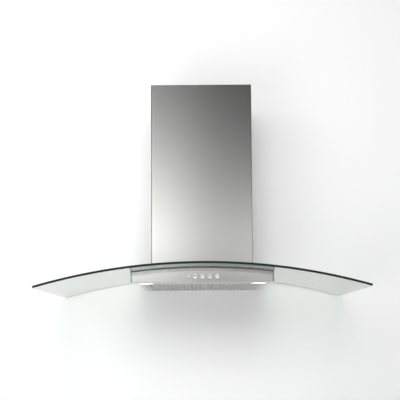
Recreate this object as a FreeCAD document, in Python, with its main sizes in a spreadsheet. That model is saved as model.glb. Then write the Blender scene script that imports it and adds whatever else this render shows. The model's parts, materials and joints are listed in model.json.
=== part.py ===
import FreeCAD, Part
import Sketcher
import math
import os
import re

# A wall-hung chimney hood, 900 mm wide: a steel body with its controls, lamps and grease
# filter hangs under a sheet of bent glass, and a fan casing stands on the glass inside a
# two-part steel chimney.
#
# Lengths are in millimetres. X runs to the right as seen from the room, Y into the wall,
# and Z up. The wall's face is Y = 0, and the origin is the centre of the four wall fixings.
# Inside this source a place is given by three sums of sizes: x, the distance from the wall
# (deep) and the height above the underside of the body (high).

SIZES = [
    # the glass
    ("glass_width", 900, "glass canopy, along its chord"),
    ("glass_depth", 500, "glass canopy, from the wall to its front edge"),
    ("glass_thick", 6, "glass canopy, thickness"),
    ("bend_radius", 1630, "glass canopy, radius of the bent upper face"),
    ("glass_corner", 5, "glass canopy, rounding of the front corners"),
    ("cutout_side_gap", 4, "notch in the glass, gap beside the fan casing"),
    ("cutout_front_gap", 10, "notch in the glass, gap in front of the fan casing"),
    ("cutout_corner", 10, "notch in the glass, rounding of its inner corners"),
    ("gasket_thick", 2.2, "rubber gasket between body and glass"),
    # fits and gaps
    ("fit_gap", 0.3, "gap between pieces that are assembled side by side"),
    ("slide_gap", 0.2, "gap round a piece that slides"),
    ("pin_gap", 0.06, "radial clearance of a pin in its hole"),
    ("hole_gap", 0.4, "radial clearance of a screw in its hole"),
    # the wall fixings and the back plate
    ("hang_height", 200, "centre of the wall fixings above the underside of the body"),
    ("back_thick", 2, "back plate, thickness"),
    ("back_low", 41, "back plate, height of its lower edge"),
    ("wall_hole_spread", 160, "wall fixings, spacing across"),
    ("wall_hole_rise", 170, "wall fixings, spacing upwards"),
    ("wall_hole_radius", 4, "wall fixings, radius"),
    # the body under the glass
    ("body_height", 40.5, "front panel, height at its middle"),
    ("panel_width", 400, "front panel, width"),
    ("panel_return", 78, "front panel, depth of its folded ends and lip"),
    ("panel_sheet", 1.2, "front panel, sheet thickness"),
    ("panel_corner", 5, "front panel, outer radius of its upright corners"),
    ("lip_front", 28, "front panel's lower lip, depth in front of the lamps"),
    ("lip_middle", 236, "front panel's lower lip, width of its full-depth middle"),
    ("lip_end", 13.5, "front panel's lower lip, width at the ends"),
    ("lip_round", 18, "front panel's lower lip, rounding beside the lamps"),
    ("tray_width", 374, "tray, width"),
    ("tray_sheet", 1, "tray, sheet thickness"),
    ("tray_corner", 12, "tray, radius of its rear corners"),
    ("seat_sheet", 1.2, "curved seat under the glass, sheet thickness"),
    ("seat_margin", 1, "gap between the seat's notch and the fan casing"),
    # the fan casing above the glass
    ("casing_side_gap", 40, "fan casing, distance of its sides from the chimney's faces"),
    ("casing_scroll_gap", 4.5, "fan casing, distance of its face from the scroll"),
    ("casing_low", 36, "fan casing, height of its lower edge"),
    ("casing_high", 330, "fan casing, height of its upper edge"),
    ("casing_sheet", 1, "fan casing, sheet thickness"),
    ("casing_flange", 12, "fan casing, width of the flanges at its back"),
    ("foot_rise", 1.5, "casing feet, height above the crown of the glass"),
    ("foot_sheet", 2, "casing feet, thickness"),
    ("foot_height", 24, "casing feet, height"),
    ("foot_near", 40, "side feet, distance of their near end from the wall"),
    ("foot_far", 222, "side feet, distance of their far end from the wall"),
    ("foot_span", 200, "front foot, width"),
    ("foot_reach", 40, "front foot, depth"),
    ("clamp_edge", 15, "clamp screws at the sides, distance from the chimney's inner face"),
    ("clamp_near", 70, "clamp screws at the sides, the pair near the wall"),
    ("clamp_far", 200, "clamp screws at the sides, the pair far from the wall"),
    ("clamp_front", 80, "clamp screws at the front, distance from the middle"),
    ("clamp_front_gap", 29, "clamp screws at the front, distance from the casing"),
    ("clamp_radius", 3, "clamp screws, radius"),
    ("clamp_head", 5.5, "clamp screws, radius of the head"),
    ("clamp_head_high", 3.5, "clamp screws, height of the head"),
    ("clamp_spare", 2, "clamp screws, thread past the nut"),
    ("nut_radius", 5.5, "clamp nuts, radius over the corners"),
    ("nut_high", 5, "clamp nuts, height"),
    ("bush_radius", 8.5, "rubber bushes on the glass, radius"),
    ("glass_hole", 5, "holes in the glass for the clamp screws, radius"),
    # the fan
    ("wheel_deep", 112, "fan axle, distance from the wall"),
    ("wheel_high", 158, "fan axle, height"),
    ("wheel_radius", 75, "fan wheel, radius"),
    ("wheel_half", 56, "fan wheel, half its length"),
    ("wheel_ring", 3, "fan wheel, thickness of the end rings"),
    ("wheel_disc", 3, "fan wheel, thickness of the middle disc"),
    ("disc_radius", 70, "fan wheel, radius of the middle disc"),
    ("hub_radius", 12, "fan wheel, radius of the hub"),
    ("hub_length", 14, "fan wheel, length of the hub"),
    ("blade_count", 28, "fan wheel, number of blades"),
    ("blade_inner", 62, "fan wheel, radius to the inner edge of the blades"),
    ("blade_outer", 73.5, "fan wheel, radius to the outer edge of the blades"),
    ("blade_lead", 7, "fan wheel, lead of a blade's outer edge"),
    ("blade_thick", 1, "fan wheel, thickness of a blade"),
    ("blade_curve", 12, "fan wheel, radius of a blade's curve"),
    ("scroll_start", 86, "scroll, smallest outer radius"),
    ("scroll_step", 11, "scroll, growth of the radius in a quarter turn"),
    ("scroll_half", 62, "scroll, half its width"),
    ("scroll_wall", 2.5, "scroll, wall thickness"),
    ("tongue_reach", 14.5, "scroll, overhang of the tongue past the top of the spiral"),
    ("throat_back", 78.5, "scroll, distance of its outlet from the wall"),
    ("inlet_radius", 60, "scroll inlet, radius of the hole"),
    ("inlet_flange", 11, "inlet ring, width of the flange"),
    ("inlet_sheet", 2, "inlet ring, thickness"),
    ("inlet_depth", 6, "inlet ring, length of its collar"),
    ("axle_radius", 4, "motor shaft, radius"),
    ("axle_left", 14, "motor shaft, reach to the left of the wheel's disc"),
    ("axle_right", 66, "motor shaft, reach to the right of the wheel's disc"),
    ("motor_near", 8, "motor can, gap to the middle of the wheel"),
    ("motor_length", 54, "motor can, length"),
    ("motor_radius", 44, "motor can, radius"),
    ("motor_wall", 2, "motor can, wall thickness"),
    ("bell_thick", 4, "motor end bell, thickness"),
    ("bearing_radius", 11, "motor bearings, outer radius"),
    ("bearing_length", 7, "motor bearings, length"),
    ("bearing_seat", 3, "motor bearing seats, wall thickness"),
    ("rotor_radius", 22, "rotor, radius"),
    ("rotor_length", 30, "rotor, length"),
    ("rotor_gap", 0.5, "air gap between rotor and stator"),
    ("stator_length", 26, "stator, length"),
    ("spider_sheet", 3, "motor bracket, thickness"),
    ("spider_inner", 34, "motor bracket, radius of the hole"),
    ("spider_outer", 43, "motor bracket, radius of the ring"),
    ("spider_arm", 12, "motor bracket, width of an arm"),
    ("spider_foot", 77, "motor bracket, distance of its feet from the axle"),
    ("spider_arms", 3, "motor bracket, number of arms"),
    ("spider_post", 4.5, "motor bracket, radius of its feet"),
    # the air outlet
    ("outlet_deep", 150, "air outlet, distance of its axis from the wall"),
    ("outlet_radius", 74.5, "air outlet, outer radius of the collar"),
    ("outlet_high", 46, "air outlet, height of the collar"),
    ("outlet_wall", 2, "air outlet, wall thickness"),
    ("collar_flange", 10, "air outlet, width of the flange at its foot"),
    ("collar_sheet", 2.5, "air outlet, thickness of the flange"),
    ("ledge_width", 3, "air outlet, width of the ledge that the flaps rest on"),
    ("flap_level", 18, "flap pins, height above the foot of the collar"),
    ("flap_split", 8, "distance between the two flap pins"),
    ("flap_thick", 1.5, "flaps, thickness"),
    ("flap_margin", 1.5, "flaps, gap to the collar's wall"),
    ("flap_barrel", 2.8, "flaps, radius of the hinge barrel"),
    ("flap_pin", 1.5, "flaps, radius of the pins"),
    ("flap_pin_reach", 6, "flaps, length of the pins"),
    ("post_inner", 60, "hinge posts, distance of their inner faces from the middle"),
    ("post_depth", 22, "hinge posts, depth"),
    ("post_height", 14, "hinge posts, height"),
    ("collar_screw_ring", 80.5, "collar screws, distance from the outlet's axis"),
    ("collar_screw_radius", 1.6, "collar screws, radius"),
    ("collar_screw_head", 3, "collar screws, radius of the head"),
    ("collar_screw_high", 2, "collar screws, height of the head"),
    ("collar_screw_length", 3.5, "collar screws, length"),
    # the electrical box and the capacitor on top of the casing
    ("terminal_inset", 12, "terminal box, distance of its left wall inside the casing's side"),
    ("terminal_width", 76, "terminal box, width"),
    ("terminal_near", 4, "terminal box, distance from the wall"),
    ("terminal_depth", 48, "terminal box, depth"),
    ("terminal_high", 36, "terminal box, height"),
    ("terminal_wall", 2, "terminal box, wall thickness"),
    ("gland_radius", 8, "cable gland, radius of the collar"),
    ("gland_thread", 6, "cable gland, radius of the threaded part"),
    ("gland_bore", 3.8, "cable gland, radius of the bore"),
    ("gland_length", 14, "cable gland, length outside the box"),
    ("gland_inside", 8, "cable gland, length inside the box"),
    ("gland_high", 18, "cable gland, height above the casing"),
    ("capacitor_right", 52, "capacitor, distance from the middle"),
    ("capacitor_deep", 30, "capacitor, distance from the wall"),
    ("capacitor_radius", 15, "capacitor, radius"),
    ("capacitor_high", 48, "capacitor, height"),
    ("lead_radius", 3, "internal lead, radius"),
    ("lead_left", 34, "internal lead, distance of its start to the left of the middle"),
    # the controls
    ("button_high", 16.5, "push-buttons, height of their axes"),
    ("button_first", -20, "first push-button, distance to the right of the middle"),
    ("button_pitch", 20.5, "push-buttons, spacing"),
    ("button_radius", 4.2, "push-buttons, radius"),
    ("button_proud", 1.4, "push-buttons, height over the front panel"),
    ("button_length", 5.5, "push-buttons, length of the cap"),
    ("button_flange", 5.8, "push-buttons, radius of the flange"),
    ("button_flange_thick", 1.4, "push-buttons, thickness of the flange"),
    ("button_stem", 1.8, "push-buttons, radius of the stem"),
    ("button_stem_length", 5, "push-buttons, length of the stem"),
    ("button_travel", 1, "push-buttons, travel"),
    ("bezel_lip", 0.8, "button bezels, width of the lip on the panel"),
    ("bezel_wall", 0.9, "button bezels, wall thickness"),
    ("bezel_proud", 0.5, "button bezels, height over the front panel"),
    ("bezel_length", 2.2, "button bezels, length behind the panel's face"),
    ("spring_length", 2.4, "button springs, length when pressed"),
    ("spring_wall", 0.8, "button springs, wall thickness"),
    ("switch_side", 6, "switches on the board, side"),
    ("switch_thick", 2, "switches on the board, thickness"),
    ("board_thick", 1.6, "control board, thickness"),
    ("board_left", 52, "control board, reach to the left"),
    ("board_right", 56, "control board, reach to the right"),
    ("board_height", 18, "control board, height"),
    ("housing_wall", 1.5, "switch housing, wall thickness"),
    ("housing_gap", 2, "switch housing, gap round the board"),
    ("housing_depth", 18, "switch housing, depth behind the panel"),
    ("led_left", 38, "indicator lamp, distance to the left of the middle"),
    ("led_radius", 1.5, "indicator lamp, radius"),
    ("led_proud", 0.3, "indicator lamp, height over the front panel"),
    # the lamps
    ("lamp_side", 160, "lamps, distance from the middle"),
    ("lamp_gap", 3.8, "gap between the lamp bezels and the filter, and to the tray's front"),
    ("lamp_flange", 24.2, "lamp bezels, radius of the flange"),
    ("lamp_flange_thick", 1, "lamp bezels, thickness of the flange"),
    ("lamp_sleeve", 22.6, "lamp bezels, radius of the sleeve"),
    ("lamp_sleeve_wall", 0.8, "lamp bezels, wall thickness of the sleeve"),
    ("lamp_sleeve_high", 12, "lamp bezels, height of the sleeve"),
    ("lens_thick", 2.5, "lamp lenses, thickness"),
    ("module_high", 17, "lamp modules, height"),
    ("module_radius", 19.5, "lamp modules, radius of the cooling body"),
    ("module_fins", 5, "lamp modules, number of slots between the fins"),
    ("module_slot", 2.5, "lamp modules, width of a slot"),
    ("module_pitch", 6.5, "lamp modules, spacing of the slots"),
    ("module_floor", 5, "lamp modules, height of the solid base"),
    # the grease filter
    ("filter_width", 340, "grease filter, width"),
    ("filter_near", 10.5, "grease filter, distance of its rear edge from the wall"),
    ("filter_length", 299.5, "grease filter, length"),
    ("filter_thick", 9, "grease filter, thickness"),
    ("filter_lift", 0.2, "grease filter, its underside above the tray's underside"),
    ("filter_bar", 12, "grease filter, width of the frame"),
    ("filter_gap", 1, "gap between the filter and the edge of the tray's opening"),
    ("mesh_sheet", 0.8, "filter meshes, thickness"),
    ("mesh_inset", 0.6, "filter meshes, distance inside the frame's faces"),
    ("mesh_bar", 2.2, "filter meshes, width of a bar"),
    ("mesh_across", 15, "filter meshes, number of bars side by side"),
    ("mesh_along", 13, "filter meshes, number of bars one behind the other"),
    ("core_gap", 0.3, "gap between the filter's core and its meshes"),
    ("catch_width", 27, "filter catch, width"),
    ("catch_length", 24, "filter catch, length"),
    ("catch_thick", 4, "filter catch, thickness"),
    ("catch_wall", 3, "walls of the catch's housing"),
    ("catch_travel", 5, "filter catch, travel"),
    ("catch_dish", 9, "filter catch, radius of the finger dish"),
    ("catch_dish_deep", 2, "filter catch, depth of the finger dish"),
    ("nose_width", 16, "catch nose, width"),
    ("nose_reach", 4.5, "catch nose, reach"),
    ("nose_thick", 2, "catch nose, thickness"),
    ("catch_spring", 2, "catch springs, radius"),
    ("catch_spring_length", 6, "catch springs, length when pressed"),
    ("catch_spring_side", 7, "catch springs, distance from the middle"),
    ("hinge_radius", 2, "filter hinge pins, radius"),
    ("hinge_reach", 6, "filter hinge pins, length"),
    ("hinge_inset", 5.5, "filter hinge pins, distance from the filter's rear edge"),
    ("socket_thick", 9, "filter hinge sockets, width"),
    ("socket_half", 5, "filter hinge sockets, half their depth"),
    ("socket_high", 10, "filter hinge sockets, height"),
    # the chimney
    ("chimney_width", 300, "lower chimney, width"),
    ("chimney_front_gap", 47, "lower chimney, distance of its face from the fan casing"),
    ("chimney_high", 600, "lower chimney, height of its upper edge"),
    ("chimney_sheet", 1, "chimney, sheet thickness"),
    ("chimney_corner", 3, "chimney, outer radius of its upright corners"),
    ("chimney_flange", 14, "chimney, width of the flanges at the wall"),
    ("chimney_gap", 1, "gap between the lower chimney and the glass"),
    ("nest_gap", 0.5, "gap between the two parts of the chimney"),
    ("upper_low", 88, "upper chimney, height of its lower edge when pushed down"),
    ("upper_drop", 3, "upper chimney, its top below the lower chimney's when pushed down"),
    ("vent_count", 6, "upper chimney, number of air slots on a side"),
    ("vent_length", 120, "upper chimney, length of the air slots"),
    ("vent_width", 6, "upper chimney, width of the air slots"),
    ("vent_pitch", 14, "upper chimney, spacing of the air slots"),
    ("vent_top", 60, "upper chimney, highest air slot below its upper edge"),
    ("vent_near", 80, "upper chimney, distance of the air slots from the wall"),
    ("bracket_sheet", 2, "ceiling bracket, thickness"),
    ("bracket_high", 26, "ceiling bracket, height"),
    ("bracket_drop", 10, "ceiling bracket, its top below the upper chimney's top"),
    ("bracket_arm", 60, "ceiling bracket, length of its arms"),
    ("bracket_hole", 3, "ceiling bracket, radius of its wall holes"),
    ("bracket_spread", 160, "ceiling bracket, spacing of its wall holes"),
    ("cover_screw", 2, "chimney screws, radius"),
    ("cover_screw_head", 3.6, "chimney screws, radius of the head"),
    ("cover_screw_head_high", 2, "chimney screws, height of the head"),
    ("cover_screw_length", 6, "chimney screws, length"),
    ("cover_screw_deep", 130, "lower chimney screws, distance from the wall"),
    ("cover_screw_high", 66, "lower chimney screws, height"),
    ("bracket_screw_deep", 40, "ceiling bracket screws, distance from the wall"),
]

doc = FreeCAD.newDocument("curved_glass_hood")
sheet = doc.addObject("Spreadsheet::Sheet", "Sizes")
for row, (alias, number, meaning) in enumerate(SIZES, start=1):
    sheet.set(f"A{row}", meaning)
    sheet.set(f"B{row}", str(number))
    sheet.setAlias(f"B{row}", alias)
doc.recompute()

# Heights and distances that several pieces share, as sums of the sizes.
GLASS_UNDER = "(body_height + gasket_thick)"
GLASS_TOP = f"({GLASS_UNDER} + glass_thick)"
BEND_AXIS = f"({GLASS_TOP} - bend_radius)"
UNDER_RADIUS = "(bend_radius - glass_thick)"
SEAT_RADIUS = f"({UNDER_RADIUS} - gasket_thick)"
SEAT_UNDER_RADIUS = f"({SEAT_RADIUS} - seat_sheet)"
FOOT_LEVEL = f"({GLASS_TOP} + foot_rise)"
FOOT_TOP = f"({FOOT_LEVEL} + foot_sheet)"
CASING_SIDE = "(chimney_width / 2 - casing_side_gap)"
CASING_DEPTH = "(wheel_deep + 2.5 * scroll_step + scroll_start + casing_scroll_gap)"
CHIMNEY_DEPTH = f"({CASING_DEPTH} + chimney_front_gap)"
CUTOUT_HALF = f"({CASING_SIDE} + cutout_side_gap)"
CUTOUT_DEPTH = f"({CASING_DEPTH} + cutout_front_gap)"
CASING_TOP = "(casing_high + casing_sheet)"
TRAY_FLOOR = "(panel_sheet + tray_sheet)"
CHIMNEY_INSIDE = "(chimney_width / 2 - chimney_sheet)"
CLAMP_SIDE = f"({CHIMNEY_INSIDE} - clamp_edge)"
CLAMP_FRONT_DEEP = f"({CASING_DEPTH} + clamp_front_gap)"
FILTER_UNDER = "(panel_sheet + filter_lift)"
FILTER_TOP = f"({FILTER_UNDER} + filter_thick)"
FILTER_FRONT = "(filter_near + filter_length)"
LAMP_DEEP = f"({FILTER_FRONT} + lamp_gap + lamp_flange)"
TRAY_DEPTH = f"({LAMP_DEEP} + lamp_flange + lamp_gap)"
PANEL_FRONT = f"({TRAY_DEPTH} + lip_front)"
PANEL_BACK = f"({PANEL_FRONT} - panel_return)"
PANEL_INSIDE = f"({PANEL_FRONT} - panel_sheet)"
HINGE_DEEP = "(filter_near + hinge_inset)"
HINGE_HIGH = f"({FILTER_UNDER} + filter_thick / 2)"
FLAP_HIGH = f"({CASING_TOP} + flap_level)"

finished = {}


# ---- writing sizes, sketches and solids ----

def named(text):
    """A sum of sizes as an expression on the sheet: every name with an underscore is a size."""
    return re.sub(r"[a-z]+(?:_[a-z]+)+", lambda found: "Sizes." + found.group(0), str(text))


def value(text):
    """The number that a sum of sizes comes to."""
    return float(sheet.evalExpression(named(text)))


def bind(item, **sums):
    """Tie properties of an item to the sheet; two underscores stand for a dot."""
    for name, text in sums.items():
        item.setExpression(name.replace("__", "."), named(text))
    return item


def finish(label, item):
    """Give a sub-part its label and keep it for the hand-over."""
    item.Label = label
    finished[label] = item
    return item


def bend_height(radius, x):
    """Height of a face that bends with the glass, at a distance x from the middle."""
    return f"({BEND_AXIS} + sqrt(({radius})^2 - ({x})^2))"


def rectangle(left, right, near, far, radius=None):
    """A loop round a rectangle, with rounded corners where a radius is given."""
    if radius is None:
        return [(left, near), (right, near), (right, far), (left, far)]
    r = f"({radius})"
    return [
        (f"{left} + {r}", near), (f"{right} - {r}", near, r),
        (right, f"{near} + {r}"), (right, f"{far} - {r}", r),
        (f"{right} - {r}", far), (f"{left} + {r}", far, r),
        (left, f"{far} - {r}"), (left, f"{near} + {r}", r),
    ]


def circle(across, along, radius):
    """A round loop."""
    return {"across": across, "along": along, "radius": radius}


def arc_between(start, end, radius):
    """An arc from start to end that bends to the left, or to the right if radius is negative."""
    if radius < 0:
        start, end, radius = end, start, -radius
    chord = end - start
    middle = (start + end) * 0.5
    side = FreeCAD.Vector(-chord.y, chord.x, 0).normalize()
    centre = middle + side * math.sqrt(max(radius ** 2 - (chord.Length / 2) ** 2, 0))
    first = math.atan2(start.y - centre.y, start.x - centre.x)
    last = math.atan2(end.y - centre.y, end.x - centre.x)
    return Part.ArcOfCircle(Part.Circle(centre, FreeCAD.Vector(0, 0, 1), radius), first, last)


def hold(drawing, kind, picks, text):
    """Add a dimension to a sketch and tie it to the sheet."""
    row = drawing.addConstraint(Sketcher.Constraint(kind, *picks, value(text)))
    drawing.setExpression(f"Constraints[{row}]", named(text))


def add_circle(drawing, across, along, radius):
    """Draw a circle whose centre and radius are held by sizes."""
    centre = FreeCAD.Vector(value(across), value(along), 0)
    round_line = Part.Circle(centre, FreeCAD.Vector(0, 0, 1), value(radius))
    line = drawing.addGeometry(round_line, False)
    hold(drawing, "DistanceX", (-1, 1, line, 3), across)
    hold(drawing, "DistanceY", (-1, 1, line, 3), along)
    hold(drawing, "Radius", (line,), radius)


def add_loop(drawing, corners):
    """Draw a closed loop of lines and arcs whose corners and radii are held by sizes."""
    spots = [FreeCAD.Vector(value(c[0]), value(c[1]), 0) for c in corners]
    ends = []
    for number, corner in enumerate(corners):
        start = spots[number]
        end = spots[(number + 1) % len(spots)]
        if len(corner) == 2:
            line = drawing.addGeometry(Part.LineSegment(start, end), False)
            ends.append((line, 1, 2))
            continue
        radius = value(corner[2])
        line = drawing.addGeometry(arc_between(start, end, radius), False)
        ends.append((line, 1, 2) if radius > 0 else (line, 2, 1))
    for number, (line, _, last) in enumerate(ends):
        following, first, _ = ends[(number + 1) % len(ends)]
        drawing.addConstraint(Sketcher.Constraint("Coincident", line, last, following, first))
    for (line, first, _), corner in zip(ends, corners):
        hold(drawing, "DistanceX", (-1, 1, line, first), corner[0])
        hold(drawing, "DistanceY", (-1, 1, line, first), corner[1])
        if len(corner) == 3:
            size = corner[2] if value(corner[2]) > 0 else f"-({corner[2]})"
            hold(drawing, "Radius", (line,), size)


# How a plane's own two directions and its level follow from x, deep and high: a pattern for
# each direction, and whether the plane is seen mirrored, which turns a bend the other way.
PLANES = {
    "XY": ("{0}", "-({1})", "({0}) {drop}", True),
    "XZ": ("{0}", "({1}) {drop}", "{0}", False),
    "YZ": ("-({0})", "({1}) {drop}", "{0}", True),
}


def draw(body, plane, loops, level="0", hung=True):
    """Draw loops on one of the body's own planes, moved to a level.

    XY takes (x, deep) at a height, XZ takes (x, high) at a distance from the wall, and YZ
    takes (deep, high) at an x. With hung off, heights count from the body's own origin.
    """
    across, along, height, mirrored = PLANES[plane]
    drop = "- hang_height" if hung else ""
    drawing = body.newObject("Sketcher::SketchObject", body.Name + "_sketch")
    origin = next(f for f in body.Origin.OriginFeatures if f.Role == plane + "_Plane")
    drawing.AttachmentSupport = [(origin, "")]
    drawing.MapMode = "FlatFace"
    bind(drawing, AttachmentOffset__Base__z=height.format(level, drop=drop))
    for loop in loops:
        if isinstance(loop, dict):
            centre = loop["across"], loop["along"]
            add_circle(drawing, across.format(*centre), along.format(*centre, drop=drop), loop["radius"])
            continue
        corners = []
        for corner in loop:
            place = (across.format(corner[0]), along.format(corner[0], corner[1], drop=drop))
            if len(corner) == 3:
                place += (f"-({corner[2]})" if mirrored else corner[2],)
            corners.append(place)
        add_loop(drawing, corners)
    return drawing


def new_body(name):
    """An empty body."""
    return doc.addObject("PartDesign::Body", name)


def pad(body, plane, loops, level, length, both_ways=False, hung=True):
    """Add a prism: upwards, into the room or to the right of its sketch, or both ways."""
    feature = body.newObject("PartDesign::Pad", body.Name + "_pad")
    feature.Profile = draw(body, plane, loops, level, hung)
    if both_ways:
        feature.SideType = "Symmetric"
    bind(feature, Length=length)
    return feature


def carve(body, plane, loops, level="0", depth=None):
    """Take a prism away: downwards, towards the wall or to the left, or right through."""
    doc.recompute()
    before = body.Shape.Volume
    feature = body.newObject("PartDesign::Pocket", body.Name + "_pocket")
    feature.Profile = draw(body, plane, loops, level)
    if depth is None:
        feature.Type = "ThroughAll"
        feature.SideType = "Symmetric"
    else:
        bind(feature, Length=depth)
    doc.recompute()
    if body.Shape.Volume >= before:
        raise RuntimeError(f"{feature.Label} takes nothing away")
    return feature


def round_edges(body, base, chosen, radius):
    """Round the edges that a test picks."""
    doc.recompute()
    names = [f"Edge{n}" for n, edge in enumerate(base.Shape.Edges, start=1) if chosen(edge)]
    feature = body.newObject("PartDesign::Fillet", body.Name + "_fillet")
    feature.Base = (base, names)
    bind(feature, Radius=radius)
    return feature


def upright(edge):
    """Whether an edge is a vertical line."""
    return abs(edge.tangentAt(edge.FirstParameter).z) > 0.999


def block(x, deep, high):
    """A box between two values of x, of the distance from the wall and of the height."""
    item = doc.addObject("Part::Box", "block")
    bind(item, Length=f"({x[1]}) - ({x[0]})", Width=f"({deep[1]}) - ({deep[0]})",
         Height=f"({high[1]}) - ({high[0]})")
    return bind(item, Placement__Base__x=x[0], Placement__Base__y=f"-({deep[1]})",
                Placement__Base__z=f"({high[0]}) - hang_height")


TURNS = {
    "right": FreeCAD.Rotation(FreeCAD.Vector(0, 1, 0), 90),
    "out": FreeCAD.Rotation(FreeCAD.Vector(1, 0, 0), 90),
    "up": FreeCAD.Rotation(),
}


def stand(item, towards, x, deep, high):
    """Turn an item's axis to the right, out into the room or up, and put it in its place."""
    item.Placement = FreeCAD.Placement(FreeCAD.Vector(), TURNS[towards])
    return bind(item, Placement__Base__x=x, Placement__Base__y=f"-({deep})",
                Placement__Base__z=f"({high}) - hang_height")


def rod(towards, x, deep, high, radius, length):
    """A cylinder that starts at a point."""
    item = doc.addObject("Part::Cylinder", "rod")
    bind(item, Radius=radius, Height=length)
    return stand(item, towards, x, deep, high)


def fuse(*items):
    """Several solids made one."""
    if len(items) == 1:
        return items[0]
    item = doc.addObject("Part::MultiFuse", "joined")
    item.Shapes = list(items)
    return item


def cut(base, *tools):
    """A solid with others taken away."""
    item = doc.addObject("Part::Cut", "cut")
    item.Base = base
    item.Tool = fuse(*tools)
    return item


def tube(towards, x, deep, high, outer, inner, length):
    """A cylinder with a bore right through."""
    return cut(rod(towards, x, deep, high, outer, length), rod(towards, x, deep, high, inner, length))


def group(items):
    """Separate solids that are handed over together."""
    item = doc.addObject("Part::Compound", "group")
    item.Links = list(items)
    return item


# ---- the glass and what it rests on ----

def bent_strip(outer, inner, half_width, square_ends=False):
    """A loop round a strip that bends with the glass, seen from the front.

    With square ends its ends stand square to its faces, and otherwise they are upright.
    """
    inner_half = f"({half_width}) * ({inner}) / ({outer})" if square_ends else half_width
    return [
        (f"-({half_width})", bend_height(outer, half_width), f"-({outer})"),
        (half_width, bend_height(outer, half_width)),
        (inner_half, bend_height(inner, inner_half), inner),
        (f"-({inner_half})", bend_height(inner, inner_half)),
    ]


def clamp_places():
    """The x and the distance from the wall of the six screws that clamp the glass."""
    for side in ("-", ""):
        yield f"{side}{CLAMP_SIDE}", "clamp_near"
        yield f"{side}{CLAMP_SIDE}", "clamp_far"
        yield f"{side}clamp_front", CLAMP_FRONT_DEEP


def clamp_holes(radius):
    """Round loops at the clamp screws, seen from above."""
    return [circle(x, deep, radius) for x, deep in clamp_places()]


def notch(half_width, depth, radius):
    """A loop round a notch that is open at the wall, seen from above."""
    r = f"({radius})"
    return [
        (f"-({half_width})", "-glass_thick"), (half_width, "-glass_thick"),
        (half_width, f"{depth} - {r}", r), (f"{half_width} - {r}", depth),
        (f"-({half_width}) + {r}", depth, r), (f"-({half_width})", f"{depth} - {r}"),
    ]


def outside_corner(half_width, depth, radius, sign):
    """A loop round what is cut off to round a front corner, seen from above; sign is its side."""
    def at(x):
        return x if sign > 0 else f"-({x})"
    r = f"({radius})"
    bend = f"-{r}" if sign > 0 else r
    return [
        (at(f"{half_width} - {r}"), depth, bend), (at(half_width), f"{depth} - {r}"),
        (at(f"{half_width} + {r}"), f"{depth} - {r}"), (at(f"{half_width} + {r}"), f"{depth} + {r}"),
        (at(f"{half_width} - {r}"), f"{depth} + {r}"),
    ]


def make_glass():
    """The bent glass sheet, with its notch and its screw holes."""
    body = new_body("glass_canopy")
    strip = bent_strip("bend_radius", UNDER_RADIUS, "glass_width / 2", square_ends=True)
    pad(body, "XZ", [strip], "0", "glass_depth")
    carve(body, "XY", [outside_corner("(glass_width / 2)", "glass_depth", "glass_corner", sign)
                       for sign in (-1, 1)])
    carve(body, "XY", [notch(CUTOUT_HALF, CUTOUT_DEPTH, "cutout_corner")])
    carve(body, "XY", clamp_holes("glass_hole"))
    finish("glass_canopy", body)


def make_gasket():
    """The rubber sheet that lies on the seat and under the glass."""
    body = new_body("glass_gasket")
    pad(body, "XZ", [bent_strip(UNDER_RADIUS, SEAT_RADIUS, "panel_width / 2")], "0", PANEL_FRONT)
    carve(body, "XY", [outside_corner("(panel_width / 2)", PANEL_FRONT, "panel_corner", sign)
                       for sign in (-1, 1)])
    carve(body, "XY", [notch(CUTOUT_HALF, CUTOUT_DEPTH, "cutout_corner")])
    carve(body, "XY", clamp_holes("clamp_radius + hole_gap"))
    finish("glass_gasket", body)


def make_seat():
    """The curved steel frame that closes the body at the top and carries the glass."""
    body = new_body("glass_seat")
    half = "(panel_width / 2 - panel_sheet - fit_gap)"
    strip = bent_strip(SEAT_RADIUS, SEAT_UNDER_RADIUS, half)
    front = f"({PANEL_INSIDE} - fit_gap)"
    pad(body, "XZ", [strip], "0", front)
    carve(body, "XY", [outside_corner(half, front, "panel_corner", sign) for sign in (-1, 1)])
    hole = notch(f"({CASING_SIDE} + seat_margin)", f"({CASING_DEPTH} + seat_margin)", "seat_margin")
    carve(body, "XY", [hole])
    carve(body, "XY", clamp_holes("clamp_radius + hole_gap"))
    finish("glass_seat", body)


# ---- the body under the glass ----

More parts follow.
